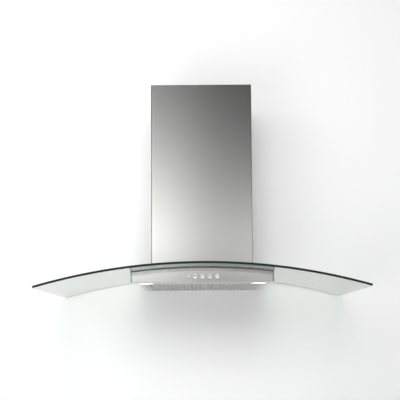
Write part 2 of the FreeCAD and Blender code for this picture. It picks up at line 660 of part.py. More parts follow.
def make_panel():
    """The front panel: a face with folded ends and a lip that passes behind the lamps."""
    body = new_body("front_panel")
    half = "(panel_width / 2)"
    outline = [
        (f"-{half}", "0"), (half, "0"), (half, bend_height(SEAT_RADIUS, half), SEAT_RADIUS),
        (f"-{half}", bend_height(SEAT_RADIUS, half)),
    ]
    face = pad(body, "XZ", [outline], PANEL_BACK, "panel_return")
    front = -value(PANEL_FRONT)
    round_edges(body, face, lambda e: upright(e) and abs(e.Vertexes[0].Y - front) < 0.01,
                "panel_corner")
    inside = rectangle(f"-{half} + panel_sheet", f"{half} - panel_sheet", f"{PANEL_BACK} + panel_sheet",
                       PANEL_INSIDE, "panel_corner - panel_sheet")
    carve(body, "XY", [inside], GLASS_TOP, f"{GLASS_TOP} - panel_sheet")
    beside = "(tray_width / 2 + fit_gap)"
    behind = rectangle(f"-{beside}", beside, f"{PANEL_BACK} - panel_sheet", f"{PANEL_BACK} + panel_corner")
    carve(body, "XY", [behind], GLASS_TOP, f"{GLASS_TOP} - panel_sheet")
    inner_half = f"({half} - panel_sheet)"
    under = f"({SEAT_UNDER_RADIUS} - fit_gap)"
    for_seat = [(f"-{inner_half}", bend_height(under, inner_half), f"-{under}"),
                (inner_half, bend_height(under, inner_half)), (inner_half, GLASS_TOP),
                (f"-{inner_half}", GLASS_TOP)]
    carve(body, "XZ", [for_seat], f"{PANEL_BACK} + panel_corner", "2 * panel_corner")
    outside = f"({half} - lip_end)"
    reach = f"({PANEL_BACK} - 2 * lip_round)"
    windows = [
        rectangle("lip_middle / 2", outside, reach, f"({PANEL_FRONT} - lip_front)", "lip_round"),
        rectangle(f"-{outside}", "-lip_middle / 2", reach, f"({PANEL_FRONT} - lip_front)", "lip_round"),
    ]
    carve(body, "XY", windows, "panel_sheet", "2 * panel_sheet")
    holes = [circle(x, "button_high", BEZEL_RADIUS) for x in button_places()]
    holes.append(circle("-led_left", "button_high", "led_radius + slide_gap"))
    carve(body, "XZ", holes)
    finish("front_panel", body)


def make_tray():
    """The tray under the glass, with the openings for the filter and the lamps."""
    body = new_body("body_tray")
    half = "(tray_width / 2)"
    top = bend_height(SEAT_UNDER_RADIUS, half)
    outline = [(f"-{half}", "panel_sheet"), (half, "panel_sheet"), (half, top, SEAT_UNDER_RADIUS),
               (f"-{half}", top)]
    shell = pad(body, "XZ", [outline], "0", TRAY_DEPTH)
    round_edges(body, shell, lambda e: upright(e) and abs(e.Vertexes[0].Y) < 0.01, "tray_corner")
    inside = rectangle(f"-{half} + tray_sheet", f"{half} - tray_sheet", "tray_sheet",
                       f"({TRAY_DEPTH} - tray_sheet)", "tray_corner - tray_sheet")
    carve(body, "XY", [inside], GLASS_TOP, f"{GLASS_TOP} - {TRAY_FLOOR}")
    side = "(filter_width / 2 + filter_gap)"
    filter_hole = rectangle(f"-{side}", side, "(filter_near - filter_gap)",
                            f"({FILTER_FRONT} + filter_gap)")
    lamp_holes = [circle(f"{sign}lamp_side", LAMP_DEEP, "lamp_sleeve + slide_gap")
                  for sign in ("-", "")]
    carve(body, "XY", [filter_hole] + lamp_holes, TRAY_FLOOR, "2 * tray_sheet")
    carve(body, "XZ", [circle(LEAD_START, LEAD_LEVEL, "lead_radius + hole_gap")],
          f"{TRAY_DEPTH} + tray_sheet", "2 * tray_sheet")
    finish("body_tray", body)


# ---- the controls ----

BUTTONS = ["button_light", "button_speed_low", "button_speed_middle", "button_speed_high"]
BEZEL_BORE = "(button_radius + slide_gap)"
BEZEL_RADIUS = f"({BEZEL_BORE} + bezel_wall)"
BUTTON_TIP = f"({PANEL_FRONT} + button_proud)"
BUTTON_BACK = f"({BUTTON_TIP} - button_length)"
STEM_END = f"({BUTTON_BACK} - button_stem_length)"
SWITCH_FRONT = f"({STEM_END} - button_travel - fit_gap)"
BOARD_FRONT = f"({SWITCH_FRONT} - switch_thick)"
BOARD_BACK = f"({BOARD_FRONT} - board_thick)"


def button_places():
    """The x of each push-button."""
    return [f"(button_first + {number} * button_pitch)" for number in range(len(BUTTONS))]


def make_buttons():
    """Four push-buttons: a cap, a flange that keeps it in its bezel, and a stem."""
    for name, x in zip(BUTTONS, button_places()):
        cap = rod("out", x, BUTTON_BACK, "button_high", "button_radius", "button_length")
        flange = rod("out", x, BUTTON_BACK, "button_high", "button_flange", "button_flange_thick")
        stem = rod("out", x, STEM_END, "button_high", "button_stem", "button_stem_length")
        finish(name, fuse(cap, flange, stem))


def make_bezels():
    """A ring round each push-button, let into the front panel."""
    rings = []
    for x in button_places():
        sleeve = rod("out", x, f"{PANEL_FRONT} - bezel_length", "button_high", BEZEL_RADIUS, "bezel_length")
        lip = rod("out", x, PANEL_FRONT, "button_high", f"{BEZEL_RADIUS} + bezel_lip", "bezel_proud")
        bore = rod("out", x, f"{PANEL_FRONT} - bezel_length", "button_high", BEZEL_BORE,
                   "bezel_length + bezel_proud")
        rings.append(cut(fuse(sleeve, lip), bore))
    finish("button_bezels", group(rings))


def make_board():
    """The control board with a switch behind each push-button."""
    low = "(button_high - board_height / 2)"
    high = "(button_high + board_height / 2)"
    board = block(("-board_left", "board_right"), (BOARD_BACK, BOARD_FRONT), (low, high))
    switches = []
    for x in button_places():
        switches.append(block((f"{x} - switch_side / 2", f"{x} + switch_side / 2"),
                              (BOARD_FRONT, SWITCH_FRONT),
                              ("button_high - switch_side / 2", "button_high + switch_side / 2")))
    finish("control_board", fuse(board, *switches))


def make_button_springs():
    """A spring on each switch, drawn at its pressed length."""
    springs = [tube("out", x, SWITCH_FRONT, "button_high", "button_stem + slide_gap + spring_wall",
                    "button_stem + slide_gap", "spring_length") for x in button_places()]
    finish("button_springs", group(springs))


def make_switch_housing():
    """The plastic box behind the front panel that holds the control board on two ribs."""
    left = "(-board_left - housing_gap)"
    right = "(board_right + housing_gap)"
    low = "(button_high - board_height / 2 - housing_gap)"
    high = "(button_high + board_height / 2 + housing_gap)"
    near = f"({PANEL_INSIDE} - housing_depth)"
    far = f"({PANEL_INSIDE} - fit_gap)"
    wall = "housing_wall"
    outside = block((f"{left} - {wall}", f"{right} + {wall}"), (near, far),
                    (f"{low} - {wall}", f"{high} + {wall}"))
    inside = block((left, right), (f"{near} + {wall}", f"{far} + {wall}"), (low, high))
    ribs = []
    for start in (left, f"({right} - 4 * {wall})"):
        ribs.append(block((start, f"{start} + 4 * {wall}"), (near, BOARD_BACK), (low, high)))
    finish("switch_housing", fuse(cut(outside, inside), *ribs))


def make_indicator():
    """The indicator lamp's light pipe, from the board to the front panel."""
    length = f"({PANEL_FRONT} + led_proud) - {BOARD_FRONT}"
    finish("indicator_led", fuse(rod("out", "-led_left", BOARD_FRONT, "button_high", "led_radius", length)))


# ---- the lamps ----

def make_lamps():
    """On each side a bezel, a frosted lens and a lamp module with cooling fins."""
    for side, sign in (("left", "-"), ("right", "")):
        x = f"{sign}lamp_side"
        under = "(panel_sheet - lamp_flange_thick)"
        flange = rod("up", x, LAMP_DEEP, under, "lamp_flange", "lamp_flange_thick")
        sleeve = rod("up", x, LAMP_DEEP, under, "lamp_sleeve", "lamp_flange_thick + lamp_sleeve_high")
        bore = rod("up", x, LAMP_DEEP, under, "lamp_sleeve - lamp_sleeve_wall",
                   "lamp_flange_thick + lamp_sleeve_high")
        finish(f"lamp_bezel_{side}", cut(fuse(flange, sleeve), bore))
        lens = rod("up", x, LAMP_DEEP, f"{under} + lamp_flange_thick / 2",
                   "lamp_sleeve - lamp_sleeve_wall - fit_gap", "lens_thick")
        finish(f"lamp_lens_{side}", fuse(lens))
        finish(f"lamp_module_{side}", lamp_module(x, f"({under} + lamp_flange_thick / 2 + lens_thick)"))


def lamp_module(x, base):
    """A round cooling body that stands on the lens, with slots between its fins."""
    puck = rod("up", x, LAMP_DEEP, base, "module_radius", "module_high")
    foot = rod("up", x, LAMP_DEEP, base, "lamp_sleeve - lamp_sleeve_wall - fit_gap", "module_floor")
    slots = []
    for number in range(round(value("module_fins"))):
        centre = f"({x} + ({number} - (module_fins - 1) / 2) * module_pitch)"
        slots.append(block((f"{centre} - module_slot / 2", f"{centre} + module_slot / 2"),
                           (f"{LAMP_DEEP} - lamp_flange", f"{LAMP_DEEP} + lamp_flange"),
                           (f"{base} + module_floor", f"{base} + 2 * module_high")))
    return cut(fuse(puck, foot), *slots)


# ---- the grease filter ----

CATCH_FAR = f"({FILTER_FRONT} - slide_gap)"
CATCH_NEAR = f"({CATCH_FAR} - catch_length)"
ROOM_NEAR = f"({CATCH_NEAR} - catch_travel - catch_spring_length - fit_gap)"
CATCH_HALF = "(catch_width / 2 + slide_gap)"
CATCH_UNDER = f"({FILTER_UNDER} + fit_gap)"
CATCH_TOP = f"({CATCH_UNDER} + catch_thick)"


def filter_field(grow, low, high):
    """The space inside the filter's frame, less the catch's housing; grow widens the frame."""
    half = f"(filter_width / 2 - filter_bar - ({grow}))"
    field = block((f"-{half}", half),
                  (f"filter_near + filter_bar + ({grow})", f"{FILTER_FRONT} - filter_bar - ({grow})"),
                  (low, high))
    side = f"({CATCH_HALF} + catch_wall + ({grow}))"
    housing = block((f"-{side}", side), (f"{ROOM_NEAR} - catch_wall - ({grow})", f"{FILTER_FRONT}"),
                    (f"{low} - filter_thick", f"{high} + filter_thick"))
    return cut(field, housing)


def make_filter_frame():
    """The filter's frame, with the housing of its catch and a hinge pin at each rear corner."""
    half = "(filter_width / 2)"
    plate = block((f"-{half}", half), ("filter_near", FILTER_FRONT), (FILTER_UNDER, FILTER_TOP))
    field = filter_field("0", f"{FILTER_UNDER} - filter_lift", f"{FILTER_TOP} + filter_lift")
    room = block((f"-{CATCH_HALF}", CATCH_HALF), (ROOM_NEAR, f"{FILTER_FRONT} + filter_bar"),
                 (f"{FILTER_UNDER} - filter_lift", f"{CATCH_TOP} + slide_gap"))
    left_pin = rod("right", f"-{half} - hinge_reach", HINGE_DEEP, HINGE_HIGH, "hinge_radius",
                   "hinge_reach + filter_bar / 2")
    right_pin = rod("right", f"{half} - filter_bar / 2", HINGE_DEEP, HINGE_HIGH, "hinge_radius",
                    "hinge_reach + filter_bar / 2")
    finish("filter_frame", fuse(cut(plate, field, room), left_pin, right_pin))


def filter_field_corners(grow):
    """Corners of the space inside the filter's frame, round the catch's housing, as numbers."""
    half = value(f"filter_width / 2 - filter_bar - ({grow})")
    near = value(f"filter_near + filter_bar + ({grow})")
    far = value(f"{FILTER_FRONT} - filter_bar - ({grow})")
    side = value(f"{CATCH_HALF} + catch_wall + ({grow})")
    room = value(f"{ROOM_NEAR} - catch_wall - ({grow})")
    return half, near, far, side, room


def flat_ring(corners, level):
    """A closed wire through (x, deep) corners at a level."""
    points = [FreeCAD.Vector(x, -deep, level) for x, deep in corners]
    return Part.makePolygon(points + points[:1])


def make_mesh(low):
    """A flat net: one face with a square gap between every two bars, given its thickness."""
    half, near, far, side, room = filter_field_corners("fit_gap")
    bar = value("mesh_bar")
    across = round(value("mesh_across"))
    along = round(value("mesh_along"))
    level = value(f"{low} - hang_height")
    step_x = (2 * half - bar) / (across - 1)
    step_deep = (far - near - bar) / (along - 1)
    rings = [flat_ring([(-half, near), (half, near), (half, far), (side, far), (side, room),
                        (-side, room), (-side, far), (-half, far)], level)]
    for column in range(across - 1):
        for line in range(along - 1):
            left = -half + bar + column * step_x
            start = near + bar + line * step_deep
            right = left + step_x - bar
            end = start + step_deep - bar
            if left < side + bar and right > -side - bar and end > room - bar:
                continue
            rings.append(flat_ring([(left, start), (right, start), (right, end), (left, end)], level))
    net = doc.addObject("Part::Feature", "net")
    net.Shape = Part.Face(rings, "Part::FaceMakerBullseye").extrude(
        FreeCAD.Vector(0, 0, value("mesh_sheet")))
    net.Placement = FreeCAD.Placement()
    return net


def make_filter_filling():
    """The two nets of the grease filter and the pad of fine mesh between them."""
    lower = f"({FILTER_UNDER} + mesh_inset)"
    upper = f"({FILTER_TOP} - mesh_inset - mesh_sheet)"
    finish("filter_meshes", group([make_mesh(lower), make_mesh(upper)]))
    finish("filter_core", filter_field("fit_gap", f"({lower} + mesh_sheet + core_gap)",
                                       f"({upper} - core_gap)"))


def make_catch():
    """The sprung catch that holds the filter's front edge up on the rim of the tray."""
    half = "(catch_width / 2)"
    slider = block((f"-{half}", half), (CATCH_NEAR, CATCH_FAR), (CATCH_UNDER, CATCH_TOP))
    dish = rod("up", "0", f"({CATCH_NEAR} + {CATCH_FAR}) / 2", f"{CATCH_UNDER} - catch_dish_deep",
               "catch_dish", "2 * catch_dish_deep")
    nose_low = f"({TRAY_FLOOR} + fit_gap)"
    nose = block(("-nose_width / 2", "nose_width / 2"),
                 (f"{CATCH_FAR} - catch_wall", f"{CATCH_FAR} + nose_reach"),
                 (nose_low, f"{nose_low} + nose_thick"))
    finish("filter_catch", fuse(cut(slider, dish), nose))
    springs = []
    for sign in ("-", ""):
        springs.append(tube("out", f"{sign}catch_spring_side", ROOM_NEAR,
                            f"({CATCH_UNDER} + catch_thick / 2)", "catch_spring",
                            "catch_spring - spring_wall", "catch_spring_length"))
    finish("catch_springs", group(springs))


def make_hinge_sockets():
    """The two blocks on the tray's floor that the filter's pins turn in."""
    sockets = []
    start = "(filter_width / 2 + filter_gap + fit_gap)"
    for near_x, far_x in ((f"-{start} - socket_thick", f"-{start}"), (start, f"{start} + socket_thick")):
        lump = block((near_x, far_x), (f"{HINGE_DEEP} - socket_half", f"{HINGE_DEEP} + socket_half"),
                     (TRAY_FLOOR, f"{TRAY_FLOOR} + socket_high"))
        bore = rod("right", near_x, HINGE_DEEP, HINGE_HIGH, "hinge_radius + pin_gap", "socket_thick")
        sockets.append(cut(lump, bore))
    finish("filter_hinge_sockets", group(sockets))


# ---- the fan casing ----

def make_casing():
    """The fan casing: three sides of sheet steel with flanges against the back plate."""
    body = new_body("casing_shell")
    side = CASING_SIDE
    thin = "casing_sheet"
    outline = [
        (f"-{side}", "back_thick"), (f"-{side}", CASING_DEPTH), (side, CASING_DEPTH),
        (side, "back_thick"), (f"{side} - casing_flange", "back_thick"),
        (f"{side} - casing_flange", f"back_thick + {thin}"), (f"{side} - {thin}", f"back_thick + {thin}"),
        (f"{side} - {thin}", f"{CASING_DEPTH} - {thin}"), (f"-{side} + {thin}", f"{CASING_DEPTH} - {thin}"),
        (f"-{side} + {thin}", f"back_thick + {thin}"),
        (f"-{side} + casing_flange", f"back_thick + {thin}"), (f"-{side} + casing_flange", "back_thick"),
    ]
    pad(body, "XY", [outline], "casing_low", "casing_high - casing_low")
    finish("casing_shell", body)


def make_back_plate():
    """The plate that hangs the hood on the wall."""
    body = new_body("back_plate")
    outline = rectangle(f"-{CASING_SIDE}", CASING_SIDE, "back_low", "casing_high")
    pad(body, "XZ", [outline], "0", "back_thick")
    holes = []
    for across in ("-", ""):
        for up in ("-", "+"):
            holes.append(circle(f"{across}wall_hole_spread / 2", f"hang_height {up} wall_hole_rise / 2",
                                "wall_hole_radius"))
    carve(body, "XZ", holes)
    finish("back_plate", body)


def make_casing_lid():
    """The top of the fan casing, with the air outlet and the hole for the lead."""
    body = new_body("casing_lid")
    pad(body, "XY", [rectangle(f"-{CASING_SIDE}", CASING_SIDE, "0", CASING_DEPTH)], "casing_high",
        "casing_sheet")
    holes = [circle("0", "outlet_deep", "outlet_radius - outlet_wall - ledge_width"),
             circle(LEAD_X, LEAD_DEEP, "lead_radius + slide_gap")]
    holes += [circle(x, deep, "collar_screw_radius") for x, deep in collar_screw_places()]
    carve(body, "XY", holes)
    finish("casing_lid", body)


def make_feet():
    """Three angle feet that carry the casing on the glass; the side ones hold the chimney too."""
    thin = "foot_sheet"
    screw = "clamp_radius + hole_gap"
    top = f"({FOOT_LEVEL} + foot_height)"
    flat = (FOOT_LEVEL, FOOT_TOP)
    outer = f"({CHIMNEY_INSIDE} - fit_gap)"
    deep = ("foot_near", "foot_far")
    feet = []
    for sign in (-1, 1):
        def span(low, high):
            return (low, high) if sign > 0 else (f"-({high})", f"-({low})")
        plate = block(span(CASING_SIDE, outer), deep, flat)
        against = block(span(CASING_SIDE, f"{CASING_SIDE} + {thin}"), deep, (FOOT_LEVEL, top))
        tab = block(span(f"{outer} - {thin}", outer), deep, (FOOT_LEVEL, top))
        holes = [rod("up", span(CLAMP_SIDE, CLAMP_SIDE)[0], at, FOOT_LEVEL, screw, f"2 * {thin}")
                 for at in ("clamp_near", "clamp_far")]
        start = f"{outer} - 2 * {thin}" if sign > 0 else f"-{outer} - {thin}"
        holes.append(rod("right", start, "cover_screw_deep", "cover_screw_high", "cover_screw",
                         f"3 * {thin}"))
        feet.append(cut(fuse(plate, against, tab), *holes))
    half = "(foot_span / 2)"
    plate = block((f"-{half}", half), (CASING_DEPTH, f"{CASING_DEPTH} + foot_reach"), flat)
    against = block((f"-{half}", half), (CASING_DEPTH, f"{CASING_DEPTH} + {thin}"), (FOOT_LEVEL, top))
    holes = [rod("up", f"{sign}clamp_front", CLAMP_FRONT_DEEP, FOOT_LEVEL, screw, f"2 * {thin}")
             for sign in ("-", "")]
    feet.append(cut(fuse(plate, against), *holes))
    finish("casing_feet", group(feet))


def make_bushes():
    """A rubber bush under the feet at each clamp screw, cut to the curve of the glass."""
    drum = rod("out", "0", "0", BEND_AXIS, "bend_radius", "glass_depth")
    bushes = []
    for x, deep in clamp_places():
        start = f"({FOOT_LEVEL} - glass_thick - gasket_thick)"
        length = "glass_thick + gasket_thick"
        ring = tube("up", x, deep, start, "bush_radius", "clamp_radius + hole_gap", length)
        bushes.append(cut(ring, drum))
    finish("clamp_bushes", group(bushes))


def make_clamp_screws():
    """The six screws through feet, bushes, glass, gasket and seat, and their nuts."""
    screws = []
    nuts = []
    for x, deep in clamp_places():
        edge = f"(abs({x}) + nut_radius)"
        under = bend_height(SEAT_UNDER_RADIUS, edge)
        start = f"({under} - nut_high - clamp_spare)"
        shank = rod("up", x, deep, start, "clamp_radius", f"{FOOT_TOP} - {start}")
        head = rod("up", x, deep, FOOT_TOP, "clamp_head", "clamp_head_high")
        screws.append(fuse(shank, head))
        nut = doc.addObject("Part::Prism", "nut")
        bind(nut, Circumradius="nut_radius", Height="nut_high")
        stand(nut, "up", x, deep, f"{under} - nut_high")
        nuts.append(cut(nut, rod("up", x, deep, f"{under} - nut_high", "clamp_radius", "nut_high")))
    finish("clamp_screws", group(screws))
    finish("clamp_nuts", group(nuts))


# ---- the fan ----

def scroll_outline(wall, reach, rise):
    """The spiral of the scroll, inset by wall; three quarter arcs grow by one step each.

    reach carries the first arc past the top of the spiral, and rise lengthens the throat.
    """
    half = "scroll_step / 2"
    first = f"(scroll_start - ({wall}))"
    second = f"({first} + scroll_step)"
    third = f"({first} + 2 * scroll_step)"
    rear_deep = f"(wheel_deep - {half})"
    front_deep = f"(wheel_deep + {half})"
    low = f"(wheel_high - {half})"
    high = f"(wheel_high + {half})"
    top = f"(casing_high - fit_gap + ({rise}))"
    return [
        (f"{rear_deep} + ({reach})", f"{low} + sqrt({first}^2 - ({reach})^2)", first),
        (f"{rear_deep} - {first}", low, second),
        (front_deep, f"{low} - {second}", third),
        (f"{front_deep} + {third}", high),
        (f"{front_deep} + {third}", top),
        (f"throat_back + ({wall})", top),
    ]


def make_scroll():
    """The scroll round the fan wheel, in two halves that meet in the middle."""
    outer = scroll_outline("0", "0", "0")
    inner = scroll_outline("scroll_wall", "tongue_reach", "scroll_wall")
    inlet = circle("wheel_deep", "wheel_high", "inlet_radius")
    halves = (("left", "-scroll_half", "0"), ("right", "0", "(scroll_half - scroll_wall)"))
    for side, start, cavity in halves:
        body = new_body(f"scroll_{side}")
        pad(body, "YZ", [outer], start, "scroll_half")
        carve(body, "YZ", [inner], cavity, "scroll_half - scroll_wall")
        carve(body, "YZ", [inlet])
        finish(f"scroll_{side}", body)


def make_inlet_rings():
    """A ring that leads the air into each end of the fan wheel."""
    throat = "(inlet_radius - slide_gap)"
    starts = (("-scroll_half - inlet_sheet", "-scroll_half - inlet_sheet"),
              ("scroll_half", "scroll_half + inlet_sheet - inlet_depth"))
    rings = []
    for flange_start, collar_start in starts:
        flange = rod("right", flange_start, "wheel_deep", "wheel_high", "inlet_radius + inlet_flange",
                     "inlet_sheet")
        collar = rod("right", collar_start, "wheel_deep", "wheel_high", throat, "inlet_depth")
        bore = rod("right", collar_start, "wheel_deep", "wheel_high", f"{throat} - inlet_sheet",
                   "inlet_depth")
        rings.append(cut(fuse(flange, collar), bore))
    finish("inlet_rings", group(rings))


def on_axle(start, radius, length):
    """A cylinder on the fan's axle, from an x to the right."""
    return rod("right", start, "wheel_deep", "wheel_high", radius, length)


def make_blades():
    """The fan wheel's curved blades, which run from one end ring through the disc to the other."""
    body = new_body("fan_blades")
    body.AllowCompound = True
    tip = "sqrt(blade_outer^2 - blade_lead^2)"
    blade = [
        ("blade_inner", "0", "blade_curve"), (tip, "blade_lead"),
        (tip, "blade_lead + blade_thick", "-blade_curve"), ("blade_inner", "blade_thick"),
    ]
    one = pad(body, "YZ", [blade], "0", "2 * (wheel_half - wheel_ring)", both_ways=True, hung=False)
    ring_of_blades = body.newObject("PartDesign::PolarPattern", "ring_of_blades")
    ring_of_blades.Originals = [one]
    axis = next(f for f in body.Origin.OriginFeatures if f.Role == "X_Axis")
    ring_of_blades.Axis = (axis, [""])
    ring_of_blades.Angle = 360
    bind(ring_of_blades, Occurrences="blade_count")
    body.Tip = ring_of_blades
    bind(body, Placement__Base__y="-wheel_deep", Placement__Base__z="wheel_high - hang_height")
    return finish("fan_blades", body)


def make_wheel():
    """The fan wheel: a disc with its hub, the blades in the disc's slots, and a ring at each end."""
    blades = make_blades()
    disc = on_axle("-wheel_disc / 2", "disc_radius", "wheel_disc")
    hub = on_axle("-hub_length", "hub_radius", "hub_length")
    bore = on_axle("-hub_length", "axle_radius", "2 * hub_length")
    finish("fan_wheel", cut(fuse(disc, hub), bore, blades))
    rings = [tube("right", start, "wheel_deep", "wheel_high", "wheel_radius", "blade_inner - blade_thick",
                  "wheel_ring") for start in ("-wheel_half", "wheel_half - wheel_ring")]
    finish("fan_rings", group(rings))


def make_motor():
    """The motor: can, end bell, bearings, stator, and the shaft with its rotor."""
    seat = "(bearing_radius + bearing_seat)"
    far = "(motor_near + motor_length)"
    can = cut(on_axle("motor_near", "motor_radius", "motor_length"),
              on_axle("motor_near + motor_wall", "motor_radius - motor_wall", "motor_length"))
    near_seat = on_axle("motor_near", seat, "bearing_length")
    near_hole = on_axle("motor_near", "bearing_radius", "bearing_length")
    finish("motor_can", cut(fuse(can, near_seat), near_hole))
    far_seat = on_axle(f"{far} + bell_thick - bearing_length", seat, "bearing_length")
    far_hole = on_axle(f"{far} + bell_thick - bearing_length", "bearing_radius", "bearing_length")
    finish("motor_end_bell", cut(fuse(on_axle(far, "motor_radius", "bell_thick"), far_seat), far_hole))
    bearings = []
    for start in ("motor_near", f"{far} + bell_thick - bearing_length"):
        bearings.append(tube("right", start, "wheel_deep", "wheel_high", "bearing_radius",
                             "axle_radius + pin_gap", "bearing_length"))
    finish("motor_bearings", group(bearings))
    middle = "(motor_near + motor_wall + motor_length / 2)"
    stator = tube("right", f"{middle} - stator_length / 2", "wheel_deep", "wheel_high",
                  "motor_radius - motor_wall", "rotor_radius + rotor_gap", "stator_length")
    finish("motor_stator", stator)
    rotor = tube("right", f"{middle} - rotor_length / 2", "wheel_deep", "wheel_high", "rotor_radius",
                 "axle_radius", "rotor_length")
    finish("motor_rotor", rotor)
    finish("motor_shaft", fuse(on_axle("-axle_left", "axle_radius", "axle_left + axle_right")))


def make_spider():
    """The three-armed bracket that holds the motor in the scroll's right inlet."""
    start = "(motor_near + motor_length + bell_thick)"
    ring = on_axle(start, "spider_outer", "spider_sheet")
    pieces = [ring]
    arms = round(value("spider_arms"))
    for number in range(arms):
        turn = 360 / arms * number + 90
        arm = doc.addObject("Part::Box", "arm")
        bind(arm, Length="spider_sheet", Width="spider_foot", Height="spider_arm")
        # the arm's own box starts on the axle and is centred on its own middle line
        spin = FreeCAD.Rotation(FreeCAD.Vector(1, 0, 0), turn)
        side = spin.multVec(FreeCAD.Vector(0, 0, 1))
        arm.Placement = FreeCAD.Placement(FreeCAD.Vector(), spin)
        bind(arm, Placement__Base__x=start,
             Placement__Base__y=f"-wheel_deep - ({side.y:.6f}) * spider_arm / 2",
             Placement__Base__z=f"wheel_high - hang_height - ({side.z:.6f}) * spider_arm / 2")
        out = spin.multVec(FreeCAD.Vector(0, 1, 0))
        foot = rod("right", "scroll_half", f"wheel_deep - ({out.y:.6f}) * spider_foot",
                   f"wheel_high + ({out.z:.6f}) * spider_foot", "spider_post",
                   f"{start} + spider_sheet - scroll_half")
        pieces += [arm, foot]
    finish("motor_bracket", cut(fuse(*pieces), on_axle(start, "spider_inner", "spider_sheet")))


# ---- the air outlet ----

def collar_screw_places():
    """The four screws of the collar, between its front, back and sides."""
    step = "collar_screw_ring * sqrt(0.5)"
    for across in ("-", ""):
        for along in ("-", "+"):
            yield f"{across}{step}", f"(outlet_deep {along} {step})"


def make_collar():
    """The outlet collar: a flange, a tube with a ledge inside, and two hinge posts."""
    foot = CASING_TOP
    tube_height = "(collar_sheet + outlet_high)"
    flange = rod("up", "0", "outlet_deep", foot, "outlet_radius + collar_flange", "collar_sheet")
    spigot = rod("up", "0", "outlet_deep", foot, "outlet_radius", tube_height)
    ledge_top = f"({FLAP_HIGH} - flap_thick / 2 - fit_gap)"
    narrow = rod("up", "0", "outlet_deep", foot, "outlet_radius - outlet_wall - ledge_width", tube_height)
    wide = rod("up", "0", "outlet_deep", ledge_top, "outlet_radius - outlet_wall", tube_height)
    shell = cut(fuse(flange, spigot), narrow, wide)
    post_top = f"({FLAP_HIGH} + flap_barrel + flap_pin)"
    posts = []
    for sign in (-1, 1):
        ends = ("post_inner", "outlet_radius - outlet_wall / 2")
        span = ends if sign > 0 else (f"-({ends[1]})", f"-({ends[0]})")
        post = block(span, ("outlet_deep - post_depth / 2", "outlet_deep + post_depth / 2"),
                     (f"{post_top} - post_height", post_top))
        posts.append(post)
    round_off = rod("up", "0", "outlet_deep", foot, "outlet_radius - outlet_wall / 2", tube_height)
    trimmed = doc.addObject("Part::MultiCommon", "trimmed_posts")
    trimmed.Shapes = [fuse(*posts), round_off]
    bore_end = "(post_inner + flap_pin_reach + slide_gap)"
    bores = [rod("right", f"-{bore_end}", f"outlet_deep {side} flap_split / 2", FLAP_HIGH,
                 "flap_pin + pin_gap", f"2 * {bore_end}") for side in ("-", "+")]
    screws = [rod("up", x, deep, foot, "collar_screw_radius + hole_gap", "2 * collar_sheet")
              for x, deep in collar_screw_places()]
    finish("outlet_collar", cut(fuse(shell, trimmed), *(bores + screws)))


def make_flaps():
    """The two flaps that close the outlet when the fan stands still."""
    reach = "(post_inner - slide_gap)"
    blade_radius = "(outlet_radius - outlet_wall - flap_margin)"
    low = f"({FLAP_HIGH} - flap_thick / 2)"
    for side, sign in (("front", "+"), ("rear", "-")):
        axis = f"(outlet_deep {sign} flap_split / 2)"
        disc = rod("up", "0", "outlet_deep", low, blade_radius, "flap_thick")
        far = f"outlet_deep {sign} outlet_radius"
        span = (axis, far) if sign == "+" else (far, axis)
        half = doc.addObject("Part::MultiCommon", "half_disc")
        half.Shapes = [disc, block((f"-{blade_radius}", blade_radius), span, (low, f"{low} + flap_thick"))]
        clear = "(post_depth / 2 + flap_barrel)"
        corners = []
        for ends in ((f"-{blade_radius}", f"-{reach}"), (reach, blade_radius)):
            corners.append(block(ends, (f"outlet_deep - {clear}", f"outlet_deep + {clear}"),
                                 (f"{low} - flap_thick", f"{low} + 2 * flap_thick")))
        barrel = rod("right", f"-{reach}", axis, FLAP_HIGH, "flap_barrel", f"2 * {reach}")
        pins = rod("right", f"-{reach} - flap_pin_reach", axis, FLAP_HIGH, "flap_pin",
                   f"2 * ({reach} + flap_pin_reach)")
        finish(f"flap_{side}", fuse(cut(half, *corners), barrel, pins))


def make_collar_screws():
    """The four screws that hold the collar on the casing's lid."""
    screws = []
    for x, deep in collar_screw_places():
        top = f"({CASING_TOP} + collar_sheet)"
        shank = rod("up", x, deep, f"{top} - collar_screw_length", "collar_screw_radius",
                    "collar_screw_length")
        screws.append(fuse(shank, rod("up", x, deep, top, "collar_screw_head", "collar_screw_high")))
    finish("collar_screws", group(screws))


# ---- the electrical pieces ----

TERMINAL_LEFT = f"({CASING_SIDE} - terminal_inset)"
TERMINAL_RIGHT = f"(terminal_width - {TERMINAL_LEFT})"
TERMINAL_FAR = "(terminal_near + terminal_depth)"
LEAD_X = f"(-{TERMINAL_LEFT} + terminal_width / 4)"
LEAD_DEEP = "(terminal_near + terminal_depth / 4)"
LEAD_START = "-lead_left"
LEAD_LEVEL = "(button_high + housing_gap)"


